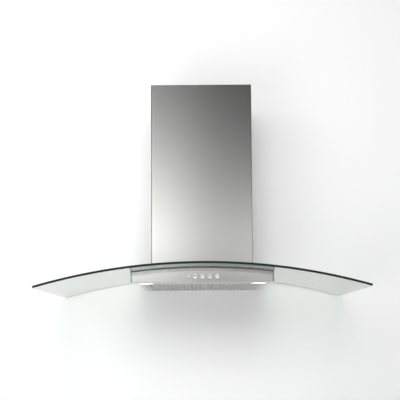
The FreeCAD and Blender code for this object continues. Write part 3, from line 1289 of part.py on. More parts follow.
def make_terminal_box():
    """The box for the mains terminals, with its lid and its cable gland."""
    wall = "terminal_wall"
    top = f"({CASING_TOP} + terminal_high)"
    outside = block((f"-{TERMINAL_LEFT}", TERMINAL_RIGHT), ("terminal_near", TERMINAL_FAR),
                    (CASING_TOP, top))
    inside = block((f"-{TERMINAL_LEFT} + {wall}", f"{TERMINAL_RIGHT} - {wall}"),
                   (f"terminal_near + {wall}", f"{TERMINAL_FAR} - {wall}"),
                   (f"{CASING_TOP} + {wall}", f"{top} + {wall}"))
    middle = "(terminal_near + terminal_depth / 2)"
    level = f"({CASING_TOP} + gland_high)"
    gland_hole = rod("right", f"-{TERMINAL_LEFT} - {wall}", middle, level, "gland_thread", f"3 * {wall}")
    lead_hole = rod("up", LEAD_X, LEAD_DEEP, f"{CASING_TOP} - {wall}", "lead_radius + slide_gap",
                    f"3 * {wall}")
    finish("terminal_box", cut(outside, inside, gland_hole, lead_hole))
    lid = block((f"-{TERMINAL_LEFT}", TERMINAL_RIGHT), ("terminal_near", TERMINAL_FAR),
                (top, f"{top} + {wall}"))
    skirt = block((f"-{TERMINAL_LEFT} + {wall} + fit_gap", f"{TERMINAL_RIGHT} - {wall} - fit_gap"),
                  (f"terminal_near + {wall} + fit_gap", f"{TERMINAL_FAR} - {wall} - fit_gap"),
                  (f"{top} - {wall}", top))
    finish("terminal_lid", fuse(lid, skirt))
    collar = rod("right", f"-{TERMINAL_LEFT} - gland_length", middle, level, "gland_radius", "gland_length")
    thread = rod("right", f"-{TERMINAL_LEFT}", middle, level, "gland_thread", "gland_inside")
    bore = rod("right", f"-{TERMINAL_LEFT} - gland_length", middle, level, "gland_bore",
               "gland_length + gland_inside")
    finish("cable_gland", cut(fuse(collar, thread), bore))


def make_capacitor():
    """The motor's capacitor, upright on the casing's lid."""
    can = rod("up", "capacitor_right", "capacitor_deep", CASING_TOP, "capacitor_radius", "capacitor_high")
    finish("capacitor", fuse(can))


def rounded_path(points, share=0.45):
    """Straight runs joined by tangent arcs, each as large as the shorter of its two runs allows."""
    edges = []
    last = points[0]
    for before, corner, after in zip(points, points[1:], points[2:]):
        back = before - corner
        on = after - corner
        turn = math.pi - back.getAngle(on)
        room = share * min(back.Length, on.Length)
        radius = room / math.tan(turn / 2)
        print(f"lead: bend radius {radius:.1f} mm")
        back.normalize()
        on.normalize()
        start = corner + back * room
        end = corner + on * room
        centre_way = (back + on).normalize()
        middle = corner + centre_way * (radius / math.cos(turn / 2) - radius)
        edges.append(Part.LineSegment(last, start).toShape())
        edges.append(Part.Arc(start, middle, end).toShape())
        last = end
    edges.append(Part.LineSegment(last, points[-1]).toShape())
    return Part.Wire(edges)


def make_lead():
    """The lead from the control board, over the filter and up the casing, to the terminals.

    Its bends are chosen by hand, as steps from the pieces that it leaves, passes and enters.
    """
    back = value(f"{PANEL_INSIDE} - housing_depth")
    level = value(LEAD_LEVEL)
    left = value(LEAD_X)
    deep = value(LEAD_DEEP)
    top = value(f"{CASING_TOP} + 2 * terminal_wall")
    ceiling = value("body_height - seat_sheet - 4 * lead_radius")
    drop = value("hang_height")
    start = value(LEAD_START)
    route = [
        (start, back, level),
        (start, back - 24, level),
        (start - 14, back - 64, ceiling - 2),
        (left + 6, back - 120, ceiling),
        (left, back - 176, ceiling - 1),
        (left, back - 236, ceiling),
        (left, deep + 44, ceiling + 1),
        (left, deep + 8, ceiling + 26),
        (left, deep, ceiling + 66),
        (left, deep + 3, ceiling + 124),
        (left, deep, ceiling + 182),
        (left, deep + 2, ceiling + 240),
        (left, deep, top - 22),
        (left, deep, top),
    ]
    points = [FreeCAD.Vector(x, -away, high - drop) for x, away, high in route]
    path = rounded_path(points)
    way = (points[1] - points[0]).normalize()
    radius = value("lead_radius")
    ring = Part.Wire([Part.Circle(points[0], way, radius).toShape()])
    lead = doc.addObject("Part::Feature", "wiring_lead")
    lead.Shape = path.makePipeShell([ring], True, False)
    lead.Placement = FreeCAD.Placement()
    expected = math.pi * radius ** 2 * path.Length
    print(f"lead: volume {lead.Shape.Volume:.0f}, section by length {expected:.0f}")
    finish("wiring_lead", lead)


# ---- the chimney ----

def chimney_outline(half, near, far, corner, thin, flange):
    """A loop round folded sheet: a front, two sides and a flange at each rear edge."""
    inner = f"({corner} - {thin})"
    return [
        (f"-({half})", near), (f"-({half})", f"{far} - {corner}", f"-({corner})"),
        (f"-({half}) + {corner}", far), (f"{half} - {corner}", far, f"-({corner})"),
        (half, f"{far} - {corner}"), (half, near),
        (f"{half} - {flange}", near), (f"{half} - {flange}", f"{near} + {thin}"),
        (f"{half} - {thin}", f"{near} + {thin}"),
        (f"{half} - {thin}", f"{far} - {corner}", inner),
        (f"{half} - {corner}", f"{far} - {thin}"), (f"-({half}) + {corner}", f"{far} - {thin}", inner),
        (f"-({half}) + {thin}", f"{far} - {corner}"),
        (f"-({half}) + {thin}", f"{near} + {thin}"),
        (f"-({half}) + {flange}", f"{near} + {thin}"), (f"-({half}) + {flange}", near),
    ]


UPPER_HALF = f"({CHIMNEY_INSIDE} - nest_gap)"
UPPER_NEAR = "(chimney_sheet + nest_gap)"
UPPER_FAR = f"({CHIMNEY_DEPTH} - chimney_sheet - nest_gap)"
UPPER_TOP = "(chimney_high - upper_drop)"
BRACKET_SIDE = f"({UPPER_HALF} - chimney_sheet - fit_gap)"
BRACKET_TOP = f"({UPPER_TOP} - bracket_drop)"
BRACKET_LOW = f"({BRACKET_TOP} - bracket_high)"


def make_lower_chimney():
    """The lower chimney, cut at its foot to the curve of the glass."""
    body = new_body("lower_chimney")
    outline = chimney_outline("(chimney_width / 2)", "0", CHIMNEY_DEPTH, "chimney_corner",
                              "chimney_sheet", "chimney_flange")
    pad(body, "XY", [outline], "0", "chimney_high")
    wide = "(chimney_width / 2 + chimney_corner)"
    radius = "(bend_radius + chimney_gap)"
    under = [
        (f"-{wide}", "-chimney_corner"), (wide, "-chimney_corner"),
        (wide, bend_height(radius, wide), radius), (f"-{wide}", bend_height(radius, wide)),
    ]
    carve(body, "XZ", [under])
    carve(body, "YZ", [circle("cover_screw_deep", "cover_screw_high", "cover_screw + slide_gap")])
    finish("lower_chimney", body)


def make_upper_chimney():
    """The upper chimney, which slides up inside the lower one, with air slots near its top."""
    body = new_body("upper_chimney")
    outline = chimney_outline(UPPER_HALF, UPPER_NEAR, UPPER_FAR, "chimney_corner", "chimney_sheet",
                              "chimney_flange")
    pad(body, "XY", [outline], "upper_low", f"{UPPER_TOP} - upper_low")
    top = f"({UPPER_TOP} - vent_top)"
    slot = rectangle("vent_near", "(vent_near + vent_length)", f"({top} - vent_width)", top,
                     "vent_width / 3")
    first = carve(body, "YZ", [slot])
    slots = body.newObject("PartDesign::LinearPattern", "slots")
    slots.Originals = [first]
    slots.Direction = (next(f for f in body.Origin.OriginFeatures if f.Role == "Z_Axis"), [""])
    slots.Reversed = True
    bind(slots, Length="(vent_count - 1) * vent_pitch", Occurrences="vent_count")
    body.Tip = slots
    level = f"({BRACKET_LOW} + bracket_high / 2)"
    carve(body, "YZ", [circle("bracket_screw_deep", level, "cover_screw_head")])
    finish("upper_chimney", body)


def make_bracket():
    """The ceiling bracket: a strip for the wall with an arm along each side of the chimney."""
    side = BRACKET_SIDE
    near = f"({UPPER_NEAR} + chimney_sheet + fit_gap)"
    high = (BRACKET_LOW, BRACKET_TOP)
    strip = block((f"-{side}", side), (near, f"{near} + bracket_sheet"), high)
    arms = [block((f"-{side}", f"-{side} + bracket_sheet"), (near, f"{near} + bracket_arm"), high),
            block((f"{side} - bracket_sheet", side), (near, f"{near} + bracket_arm"), high)]
    level = f"({BRACKET_LOW} + bracket_high / 2)"
    holes = [rod("out", f"{sign}bracket_spread / 2", near, level, "bracket_hole", "2 * bracket_sheet")
             for sign in ("-", "")]
    holes.append(rod("right", f"-{side}", "bracket_screw_deep", level, "cover_screw", f"2 * {side}"))
    finish("ceiling_bracket", cut(fuse(strip, *arms), *holes))


def make_cover_screws():
    """Screws through the sides: two hold the lower chimney and two the upper one."""
    outer = "(chimney_width / 2)"
    lower = []
    for shank_start, head_start in (
            (f"{outer} - cover_screw_length", outer),
            (f"-{outer}", f"-{outer} - cover_screw_head_high")):
        shank = rod("right", shank_start, "cover_screw_deep", "cover_screw_high", "cover_screw",
                    "cover_screw_length")
        head = rod("right", head_start, "cover_screw_deep", "cover_screw_high", "cover_screw_head",
                   "cover_screw_head_high")
        lower.append(fuse(shank, head))
    finish("lower_chimney_screws", group(lower))
    level = f"({BRACKET_LOW} + bracket_high / 2)"
    half = UPPER_HALF
    upper = []
    for shank_start, head_start in (
            (f"{half} - cover_screw_length", f"{half} - chimney_sheet"), (f"-{half}", f"-{half}")):
        shank = rod("right", shank_start, "bracket_screw_deep", level, "cover_screw", "cover_screw_length")
        head = rod("right", head_start, "bracket_screw_deep", level, "cover_screw_head", "chimney_sheet")
        upper.append(fuse(shank, head))
    finish("upper_chimney_screws", group(upper))


# ---- building, checking and writing ----

def build():
    """Make every sub-part."""
    make_glass()
    make_gasket()
    make_seat()
    make_panel()
    make_tray()
    make_buttons()
    make_bezels()
    make_board()
    make_button_springs()
    make_switch_housing()
    make_indicator()
    make_lamps()
    make_filter_frame()
    make_filter_filling()
    make_catch()
    make_hinge_sockets()
    make_casing()
    make_back_plate()
    make_casing_lid()
    make_feet()
    make_bushes()
    make_clamp_screws()
    make_scroll()
    make_inlet_rings()
    make_wheel()
    make_motor()
    make_spider()
    make_collar()
    make_flaps()
    make_collar_screws()
    make_terminal_box()
    make_capacitor()
    make_lead()
    make_lower_chimney()
    make_upper_chimney()
    make_bracket()
    make_cover_screws()


def check():
    """Stop if anything failed to compute or a sub-part has no sound shape."""
    for item in doc.Objects:
        if "Invalid" in item.State or "Error" in item.State:
            raise RuntimeError(f"{item.Label} is {item.State}")
    for label, item in finished.items():
        shape = item.Shape
        if shape.isNull() or not shape.isValid() or not shape.Solids:
            raise RuntimeError(f"{label} has no sound solid")


def write():
    """Write each sub-part to its own file."""
    os.makedirs("parts", exist_ok=True)
    for label, item in finished.items():
        item.Shape.exportStep(f"parts/{label}.step")
        print(f"{label}: {len(item.Shape.Solids)} solid(s), {item.Shape.Volume:.0f} mm3")


build()
doc.recompute()
check()
write()
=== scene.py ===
import json
import math

import bmesh
import bpy
import numpy as np
from mathutils import Matrix, Vector
from mathutils.geometry import delaunay_2d_cdt


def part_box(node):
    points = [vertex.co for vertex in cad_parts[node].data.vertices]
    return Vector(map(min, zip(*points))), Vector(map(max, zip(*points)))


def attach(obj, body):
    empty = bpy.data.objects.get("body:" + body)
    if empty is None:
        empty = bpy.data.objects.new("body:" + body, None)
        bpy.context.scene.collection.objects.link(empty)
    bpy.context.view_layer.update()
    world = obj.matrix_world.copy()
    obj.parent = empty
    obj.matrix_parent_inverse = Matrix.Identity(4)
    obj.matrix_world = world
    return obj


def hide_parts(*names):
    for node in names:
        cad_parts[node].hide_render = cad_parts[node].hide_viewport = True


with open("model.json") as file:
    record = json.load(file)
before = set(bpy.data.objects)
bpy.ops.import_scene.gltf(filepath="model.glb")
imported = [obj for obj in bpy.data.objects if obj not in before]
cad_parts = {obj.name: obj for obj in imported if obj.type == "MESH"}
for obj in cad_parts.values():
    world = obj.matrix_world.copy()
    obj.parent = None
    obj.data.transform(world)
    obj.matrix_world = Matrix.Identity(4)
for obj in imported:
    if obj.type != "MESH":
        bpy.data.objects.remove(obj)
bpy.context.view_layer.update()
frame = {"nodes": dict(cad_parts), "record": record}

# A curved glass chimney hood, seen from a little below and in front. Lengths are in metres.
# X runs to the right, Y into the wall and Z up; the wall's face is Y = 0.

TURN = 2 * math.pi
NODES = frame["nodes"]
SLOT_OF = {row["node"]: row["material_slot"] for row in frame["record"]["subparts"]}
BODIES = frame["record"]["behaviour"]["bodies"]
BODY_OF = {node: body for body, nodes in BODIES.items() for node in nodes}
QUARTER = math.pi / 2
CREASE = 32                        # degrees past which an edge is sharp
FLAT = math.radians(0.5)           # faces that turn less than this count as one
WELD = 1e-6                        # points closer than this count as one
TOUCHING = 1e-9
RIM_STEPS = 4                      # points of the quarter turn round a sheet's edge


# ---- surfaces ----

def grid_faces(rows, columns, wrap_rows=False, wrap_columns=False):
    """Quads between neighbouring points of a grid, whose points are numbered row by row."""
    a = np.arange(rows if wrap_rows else rows - 1)
    b = np.arange(columns if wrap_columns else columns - 1)
    i, j = np.meshgrid(a, b, indexing="ij")
    below, beside = (i + 1) % rows, (j + 1) % columns
    corners = (i, j), (i, beside), (below, beside), (below, j)
    return np.stack([row * columns + column for row, column in corners], axis=-1).reshape(-1, 4)


def skin(parts):
    """Join (points, faces) pairs into one list of points and one of faces."""
    points, faces, start = [], [], 0
    for spots, polygons in parts:
        spots = np.asarray(spots, float).reshape(-1, 3)
        points.append(spots)
        faces += [[start + corner for corner in polygon] for polygon in polygons]
        start += len(spots)
    return np.concatenate(points), faces


def loft(rings, caps=True, closed=True):
    """A skin through rings of equally many points; caps close its first and last ring."""
    rings = np.asarray(rings, float)
    count, size = rings.shape[:2]
    faces = grid_faces(count, size, wrap_columns=closed).tolist()
    if caps:
        faces.append(list(range(size))[::-1])
        faces.append([(count - 1) * size + corner for corner in range(size)])
    return rings.reshape(-1, 3), faces


def bent(corners, steps=5):
    """A closed outline through (x, y, radius) corners: each corner is rounded by an arc
    that leaves both of its sides at radius / tan(half the corner's angle)."""
    corners = np.asarray(corners, float)
    out = []
    for before, here, after in zip(np.roll(corners, 1, 0), corners, np.roll(corners, -1, 0)):
        radius = here[2]
        if radius <= 0:
            out.append(here[None, :2])
            continue
        back = before[:2] - here[:2]
        on = after[:2] - here[:2]
        back /= np.linalg.norm(back)
        on /= np.linalg.norm(on)
        half = math.acos(np.clip(back @ on, -1, 1)) / 2
        middle = here[:2] + (back + on) / np.linalg.norm(back + on) * radius / math.sin(half)
        start = here[:2] + back * radius / math.tan(half) - middle
        end = here[:2] + on * radius / math.tan(half) - middle
        t = np.linspace(0, 1, steps + 1)[:, None]
        arc = start * (1 - t) + end * t
        arc *= radius / np.linalg.norm(arc, axis=1, keepdims=True)
        out.append(middle + arc)
    return np.concatenate(out)


def bent_path(corners):
    """An open path through (x, y, radius) corners, rounded as an outline is."""
    return bent([*corners, (0, 0, 0)])[:-1]


def sideways(path, closed=True):
    """For each point of a path, the step to its left that shifts both its sides by one unit."""
    ahead = np.roll(path, -1, 0) - path
    if not closed:
        ahead[-1] = ahead[-2]
    ahead /= np.maximum(np.linalg.norm(ahead, axis=1, keepdims=True), 1e-12)
    normal = np.stack([-ahead[:, 1], ahead[:, 0]], axis=1)
    before = np.roll(normal, 1, 0)
    if not closed:
        before[0] = normal[0]
    mean = normal + before
    return mean / np.maximum(np.sum(mean * normal, axis=1, keepdims=True), 0.3)


def inset(outline, distance):
    """An outline moved to its left by a distance."""
    return outline + sideways(outline) * distance


def divided(path, step, closed=True):
    """A path with points added so that none of its sides is longer than a step."""
    ends = np.roll(path, -1, 0) if closed else path[1:]
    starts = path if closed else path[:-1]
    runs = []
    for start, end in zip(starts, ends):
        count = max(1, math.ceil(np.linalg.norm(end - start) / step))
        runs.append(start + (end - start) * (np.arange(count) / count)[:, None])
    if not closed:
        runs.append(path[-1:])
    return np.concatenate(runs)


def lathe(profile, segments=48, closed=True):
    """Points of (radius, height) turned once about Z; a closed profile joins its ends."""
    profile = np.asarray(profile, float)
    angle = np.linspace(0, TURN, segments, endpoint=False)
    x = np.outer(np.cos(angle), profile[:, 0])
    y = np.outer(np.sin(angle), profile[:, 0])
    z = np.broadcast_to(profile[:, 1], x.shape)
    faces = grid_faces(segments, len(profile), wrap_rows=True, wrap_columns=closed)
    return np.stack([x, y, z], axis=-1).reshape(-1, 3), faces[:, ::-1].tolist()


def tube(path, radius, segments):
    """A round tube along a path: its rings stand square to the path and don't twist about it."""
    path = np.asarray(path, float)
    along = np.gradient(path, axis=0)
    along /= np.linalg.norm(along, axis=1, keepdims=True)
    any_way = (0.31, 0.52, 0.79)
    side = np.cross(along[0], any_way)
    sides = []
    for direction in along:
        side = side - direction * (side @ direction)
        side /= np.linalg.norm(side)
        sides.append(side)
    sides = np.array(sides)[:, None]
    other = np.cross(along[:, None], sides)
    angle = np.linspace(0, TURN, segments, endpoint=False)[None, :, None]
    return loft(path[:, None] + radius * (np.cos(angle) * sides + np.sin(angle) * other))


AXES = {
    "up": np.eye(3),
    "out": np.array([[1.0, 0, 0], [0, 0, -1], [0, 1, 0]]),
    "right": np.array([[0, 0, 1.0], [0, 1, 0], [-1, 0, 0]]),
    "left": np.array([[0, 0, -1.0], [0, 1, 0], [1, 0, 0]]),
}


def stand(shape, towards, place):
    """Turn a shape's own Z axis out to the room, up or to a side, and move it to its place."""
    points, faces = shape
    return points @ AXES[towards].T + np.asarray(place, float), faces


def add_object(name, data):
    """A new object at the origin of the scene."""
    item = bpy.data.objects.new(name, data)
    bpy.context.scene.collection.objects.link(item)
    return item


def piece(name, parts, material, node, crease=CREASE):
    """Make a piece from parts, sharpen its edges past the crease angle and hang it where its node
    hangs. With a list of materials, each part takes its own."""
    points, faces = skin(parts)
    mesh = bpy.data.meshes.new(name)
    mesh.from_pydata(points.tolist(), [], faces)
    materials = material if isinstance(material, list) else [material]
    for finish in materials:
        mesh.materials.append(finish)
    if len(materials) > 1:
        counts = [len(polygons) for _, polygons in parts]
        mesh.polygons.foreach_set("material_index", np.repeat(np.arange(len(parts)), counts))
    weld(mesh)
    mesh.shade_smooth()
    mesh.set_sharp_from_angle(angle=math.radians(crease))
    item = add_object(name, mesh)
    even_shading(item)
    hang(item, node)


def weld(mesh, merge_flat=False):
    """Join points of a mesh that lie in one place and, if asked, flat neighbouring faces."""
    work = bmesh.new()
    work.from_mesh(mesh)
    bmesh.ops.remove_doubles(work, verts=work.verts, dist=WELD)
    if merge_flat:
        bmesh.ops.dissolve_limit(work, angle_limit=FLAT, verts=work.verts, edges=work.edges)
    work.to_mesh(mesh)
    work.free()


def even_shading(item):
    """Keep large flat faces flat in their shading where a small rounding meets them."""
    weighted = item.modifiers.new("even shading", "WEIGHTED_NORMAL")
    weighted.keep_sharp = True


def hang(item, node):
    """Let a piece ride on its node's body, and hide the node."""
    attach(item, BODY_OF[node])
    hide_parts(node)


def softened(node, edge):
    """A node's own shape with its triangles merged and every sharp edge rounded a little."""
    name = node + "_finished"
    mesh = NODES[node].data.copy()
    mesh.name = name
    item = add_object(name, mesh)
    weld(mesh, merge_flat=True)
    mesh.materials.clear()
    mesh.materials.append(FINISHES[SLOT_OF[node]])
    mesh.shade_smooth()
    bevel = item.modifiers.new("rounded edges", "BEVEL")
    bevel.width = edge
    bevel.segments = 2
    bevel.limit_method = "ANGLE"
    bevel.angle_limit = math.radians(CREASE)
    even_shading(item)
    hang(item, node)


def pressed(outline, holes, low, high, edge, form=None, spacing=None):
    """A sheet between two levels, from a flat outline with holes.

    The flat region is meshed by a constrained triangulation, with a square grid of points inside
    where a spacing is given, and the triangles in the holes are left out. Its rim rounds both
    edges by quarter turns of the edge's size, and form maps flat points (n, 3) to their places.
    Returns two skins: the faces and the rims.
    """
    loops = [np.asarray(outline, float)] + [np.asarray(hole, float) for hole in holes]
    loops = [loop if signed_area(loop) > 0 else loop[::-1] for loop in loops]
    ways = [1] + [-1] * len(holes)
    inner = [inset(loop, way * edge) for loop, way in zip(loops, ways)]
    edges, start = [], 0
    for loop in inner:
        count = len(loop)
        edges += [(start + k, start + (k + 1) % count) for k in range(count)]
        start += count
    spots = inner + ([inside_points(inner, spacing)] if spacing else [])
    flat = [Vector(spot) for spot in np.concatenate(spots).tolist()]
    inside_constraints = 1
    vertices, _, triangles, *_ = delaunay_2d_cdt(flat, edges, [], inside_constraints, TOUCHING)
    vertices = np.array([tuple(v) for v in vertices])
    triangles = np.array(triangles)
    for loop in inner[1:]:
        triangles = triangles[~within(vertices[triangles].mean(axis=1), loop)]
    top = np.column_stack([vertices, np.full(len(vertices), high)])
    bottom = np.column_stack([vertices, np.full(len(vertices), low)])
    form = form or (lambda p: p)
    faces = skin([(form(top), triangles.tolist()), (form(bottom), triangles[:, ::-1].tolist())])
    turn = np.linspace(0, QUARTER, RIM_STEPS)
    drop, rise = edge * (1 - np.sin(turn)), edge * (1 - np.cos(turn))
    rims = []
    for loop, way in zip(loops, ways):
        steps = [*zip(drop, low + rise), *zip(drop[::-1], high - rise[::-1])]
        rings = [form(np.column_stack([inset(loop, way * inward), np.full(len(loop), level)]))
                 for inward, level in steps]
        spots, quads = loft(rings, caps=False)
        rims.append((spots, [quad[::way] for quad in quads]))
    return faces, skin(rims)


def signed_area(loop):
    """Area of a flat loop, positive where it runs anticlockwise."""
    ahead = np.roll(loop, -1, 0)
    return 0.5 * np.sum(loop[:, 0] * ahead[:, 1] - ahead[:, 0] * loop[:, 1])


def inside_points(loops, spacing):
    """Points of a square grid that lie inside the first loop, outside the others, and at least a
    quarter of a step away from every corner of them."""
    low, high = loops[0].min(0), loops[0].max(0)
    x = np.arange(low[0] + spacing / 2, high[0], spacing)
    y = np.arange(low[1] + spacing / 2, high[1], spacing)
    spots = np.stack(np.meshgrid(x, y), axis=-1).reshape(-1, 2)
    keep = within(spots, loops[0])
    for loop in loops[1:]:
        keep &= ~within(spots, loop)
    corners = np.concatenate(loops)
    near = np.min(np.linalg.norm(spots[:, None] - corners[None], axis=2), axis=1)
    return spots[keep & (near > spacing / 4)]


def within(spots, loop):
    """Which spots lie inside a loop, by counting the sides that a ray to the right crosses."""
    a, b = loop[None], np.roll(loop, -1, 0)[None]
    x, y = spots[:, 0, None], spots[:, 1, None]
    spans = (a[..., 1] > y) != (b[..., 1] > y)
    rise = np.where(b[..., 1] == a[..., 1], 1, b[..., 1] - a[..., 1])
    cross = a[..., 0] + (y - a[..., 1]) / rise * (b[..., 0] - a[..., 0])
    return np.sum(spans & (x < cross), axis=1) % 2 == 1


def ring_of(x, y, radius, count=32):
    """A round loop."""
    angle = np.linspace(0, TURN, count, endpoint=False)
    return np.stack([x + radius * np.cos(angle), y + radius * np.sin(angle)], axis=1)


def box_loop(left, right, near, far, radius=0.0):
    """A rectangular loop with rounded corners."""
    places = (left, near), (right, near), (right, far), (left, far)
    return bent([(x, y, radius) for x, y in places])


# ---- sizes, taken from the frame ----

def corners_of(node):
    """The lowest and the highest corner of a node."""
    low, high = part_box(node)
    return np.array(low), np.array(high)


def centre_of(node):
    """The middle of a node's box."""
    low, high = corners_of(node)
    return (low + high) / 2


GLASS_LOW, GLASS_HIGH = corners_of("glass_canopy")
PANEL_LOW, PANEL_HIGH = corners_of("front_panel")
TRAY_LOW, TRAY_HIGH = corners_of("body_tray")
CHIMNEY_LOW, CHIMNEY_HIGH = corners_of("lower_chimney")
FILTER_LOW, FILTER_HIGH = corners_of("filter_frame")

BEND = 1.630                       # radius of the glass's upper face
GLASS_THICK = 0.006
GASKET_THICK = 0.0022
SEAT_THICK = 0.0012
GLASS_UNDER = BEND - GLASS_THICK
SEAT_TOP = GLASS_UNDER - GASKET_THICK
SEAT_UNDER = SEAT_TOP - SEAT_THICK
BEND_AXIS = GLASS_HIGH[2] - BEND
SHEET = 0.001                      # sheet of the chimney and the tray
PANEL_SHEET = 0.0012
CLAMPS = ((0.134, -0.070), (0.134, -0.200), (0.080, -0.259))
CLAMP_PLACES = [(side * x, y) for side in (-1, 1) for x, y in CLAMPS]
NOTCH_HALF = 0.114                 # notch in the glass for the fan casing
NOTCH_REACH = 0.240
NOTCH_ROUND = 0.010
FILTER_HALF = 0.170
FILTER_GAP = 0.001
BUTTONS = ["button_light", "button_speed_low", "button_speed_middle", "button_speed_high"]


def bend_height(radius, x):
    """Height of a face that bends with the glass: its axis plus the root of radius² less x²."""
    return BEND_AXIS + np.sqrt(radius ** 2 - np.square(x))


def bent_square(points):
    """Bend a flat sheet about the glass's axis; its thickness stays square to the faces. Heights
    count from the glass's upper face."""
    angle = np.arcsin(points[:, 0] / BEND)
    reach = BEND + points[:, 2]
    height = BEND_AXIS + reach * np.cos(angle)
    return np.column_stack([reach * np.sin(angle), points[:, 1], height])


def bent_upright(points):
    """Bend a flat sheet with the glass, with its ends left upright."""
    height = bend_height(BEND + points[:, 2], points[:, 0])
    return np.column_stack([points[:, :2], height])


# ---- finishes ----

def add_node(tree, kind, inputs=None, **settings):
    """A node with its settings, and with inputs set to numbers or joined to sockets."""
    item = tree.nodes.new(kind)
    for name, setting in settings.items():
        setattr(item, name, setting)
    for name, value in (inputs or {}).items():
        if isinstance(value, bpy.types.NodeSocket):
            tree.links.new(value, item.inputs[name])
        else:
            item.inputs[name].default_value = value
    return item


def maths(tree, operation, *values):
    """The result of a Math node."""
    return add_node(tree, "ShaderNodeMath", dict(enumerate(values)), operation=operation).outputs[0]


class Finish:
    """A material in the making: its node tree, its shader and the patterns that feed it."""

    def __init__(self, name, color, roughness, metallic=0.0, **numbers):
        self.material = bpy.data.materials.new(name)
        self.material.use_nodes = True
        self.tree = self.material.node_tree
        self.shader = self.tree.nodes["Principled BSDF"]
        self.shader.inputs["Base Color"].default_value = (*color, 1)
        self.shader.inputs["Roughness"].default_value = roughness
        self.shader.inputs["Metallic"].default_value = metallic
        for socket, number in numbers.items():
            self.shader.inputs[socket.replace("_", " ")].default_value = number
        self.place = self.node("ShaderNodeTexCoord").outputs["Object"]

    def node(self, kind, inputs=None, **settings):
        """A node of this material."""
        return add_node(self.tree, kind, inputs, **settings)

    def stretched(self, stretch):
        """Object coordinates, each multiplied by its own stretch."""
        inputs = {"Vector": self.place, "Scale": stretch}
        return self.node("ShaderNodeMapping", inputs).outputs["Vector"]

    def noise(self, scale, stretch=(1, 1, 1), detail=3.0, blur=0.5):
        """Noise from 0 to 1 with about scale grains to a metre along an unstretched axis."""
        place = self.stretched(stretch)
        inputs = {"Vector": place, "Scale": scale, "Detail": detail, "Roughness": blur}
        return self.node("ShaderNodeTexNoise", inputs).outputs["Fac"]

    def cell_shades(self, scale):
        """One shade for each of the cells round scattered points, scale of them to a metre."""
        inputs = {"Vector": self.place, "Scale": scale}
        return self.node("ShaderNodeTexVoronoi", inputs).outputs["Color"]

    def between(self, factor, low, high, start=0.3, end=0.7):
        """A number that runs from low to high as a factor runs from start to end."""
        inputs = {"Value": factor, "From Min": start, "From Max": end, "To Min": low, "To Max": high}
        return self.node("ShaderNodeMapRange", inputs).outputs["Result"]

    def mix(self, factor, first, second):
        """A colour between two colours."""
        item = self.node("ShaderNodeMix", {0: factor}, data_type="RGBA")
        for socket, value in zip(item.inputs[6:8], (first, second)):
            if isinstance(value, tuple):
                socket.default_value = (*value, 1)
            else:
                self.tree.links.new(value, socket)
        return item.outputs[2]

    def color(self, socket):
        """Join a colour to the shader."""
        self.tree.links.new(socket, self.shader.inputs["Base Color"])

    def roughness(self, socket):
        """Join a roughness to the shader."""
        self.tree.links.new(socket, self.shader.inputs["Roughness"])

    def bump(self, factor, height):
        """Relief from a factor, with its full height in metres."""
        normal = self.node("ShaderNodeBump", {"Height": factor, "Distance": height}).outputs[0]
        self.tree.links.new(normal, self.shader.inputs["Normal"])

    def dressed(self, shade, colors, grain, gloss, relief):
        """The material, with its colour from one pattern and its gloss and relief from another."""
        self.color(self.mix(self.between(shade, 0, 1), *colors))
        self.roughness(self.between(grain, *gloss))
        self.bump(grain, relief)
        return self.material


def satin_steel(name, stretch):
    """Stainless steel with a fine grain; the stretch is small along the grain."""
    finish = Finish(name, (0.63, 0.63, 0.624), 0.13, 1.0)
    grain = finish.noise(3600, stretch, 4.0, 0.65)
    cloud = finish.noise(4, detail=1.0)
    shade = finish.mix(finish.between(grain, 0, 1), (0.615, 0.615, 0.609), (0.648, 0.648, 0.641))
    finish.color(finish.mix(finish.between(cloud, 0, 0.2), shade, (0.61, 0.61, 0.605)))
    finish.roughness(finish.between(grain, 0.12, 0.15))
    finish.bump(grain, 0.000001)
    return finish.material


def see_through(finish, tint):
    """Let the lamps' light through a piece: shadow rays meet a clear sheet of the tint."""
    shadow = finish.node("ShaderNodeLightPath").outputs["Is Shadow Ray"]
    clear = finish.node("ShaderNodeBsdfTransparent", {"Color": (*tint, 1)}).outputs["BSDF"]
    joined = finish.node("ShaderNodeMixShader", {0: shadow, 1: finish.shader.outputs["BSDF"], 2: clear})
    finish.tree.links.new(joined.outputs[0], finish.tree.nodes["Material Output"].inputs["Surface"])


def canopy_glass():
    """Glass with a green cast, a faint film, and the slow waves that bending leaves in it. Towards views
    along the sheet its colour darkens to a painted shade, much deeper than the green cast gives."""
    finish = Finish("canopy_glass", (0.88, 0.91, 0.89), 0.0, IOR=1.5)
    finish.shader.inputs["Transmission Weight"].default_value = 1.0
    finish.shader.inputs["Specular IOR Level"].default_value = 0.25
    wave = finish.noise(7, detail=1.0)
    film = finish.noise(38, detail=4.0)
    facing = finish.node("ShaderNodeLayerWeight", {"Blend": 0.5}).outputs["Facing"]
    clear = finish.mix(finish.between(film, 0, 1), (0.87, 0.905, 0.88), (0.89, 0.925, 0.90))
    # painted shade: the colour runs down to a dark grey as the view turns along the sheet
    finish.color(finish.mix(finish.between(facing, 0, 1, 0.5, 0.92), clear, (0.37, 0.395, 0.375)))
    finish.roughness(finish.between(film, 0.0, 0.006))
    finish.bump(wave, 0.00002)
    see_through(finish, (0.70, 0.75, 0.72))
    return finish.material


def canopy_edge():
    """The ground edge of the glass, dark green because it looks into the sheet's length."""
    finish = Finish("canopy_edge", (0.012, 0.026, 0.020), 0.3, IOR=1.5)
    finish.shader.inputs["Specular IOR Level"].default_value = 0.16
    streak = finish.noise(400, (1, 1, 0.2), 3.0)
    colors = (0.008, 0.019, 0.014), (0.016, 0.034, 0.026)
    return finish.dressed(streak, colors, streak, (0.24, 0.36), 0.00001)


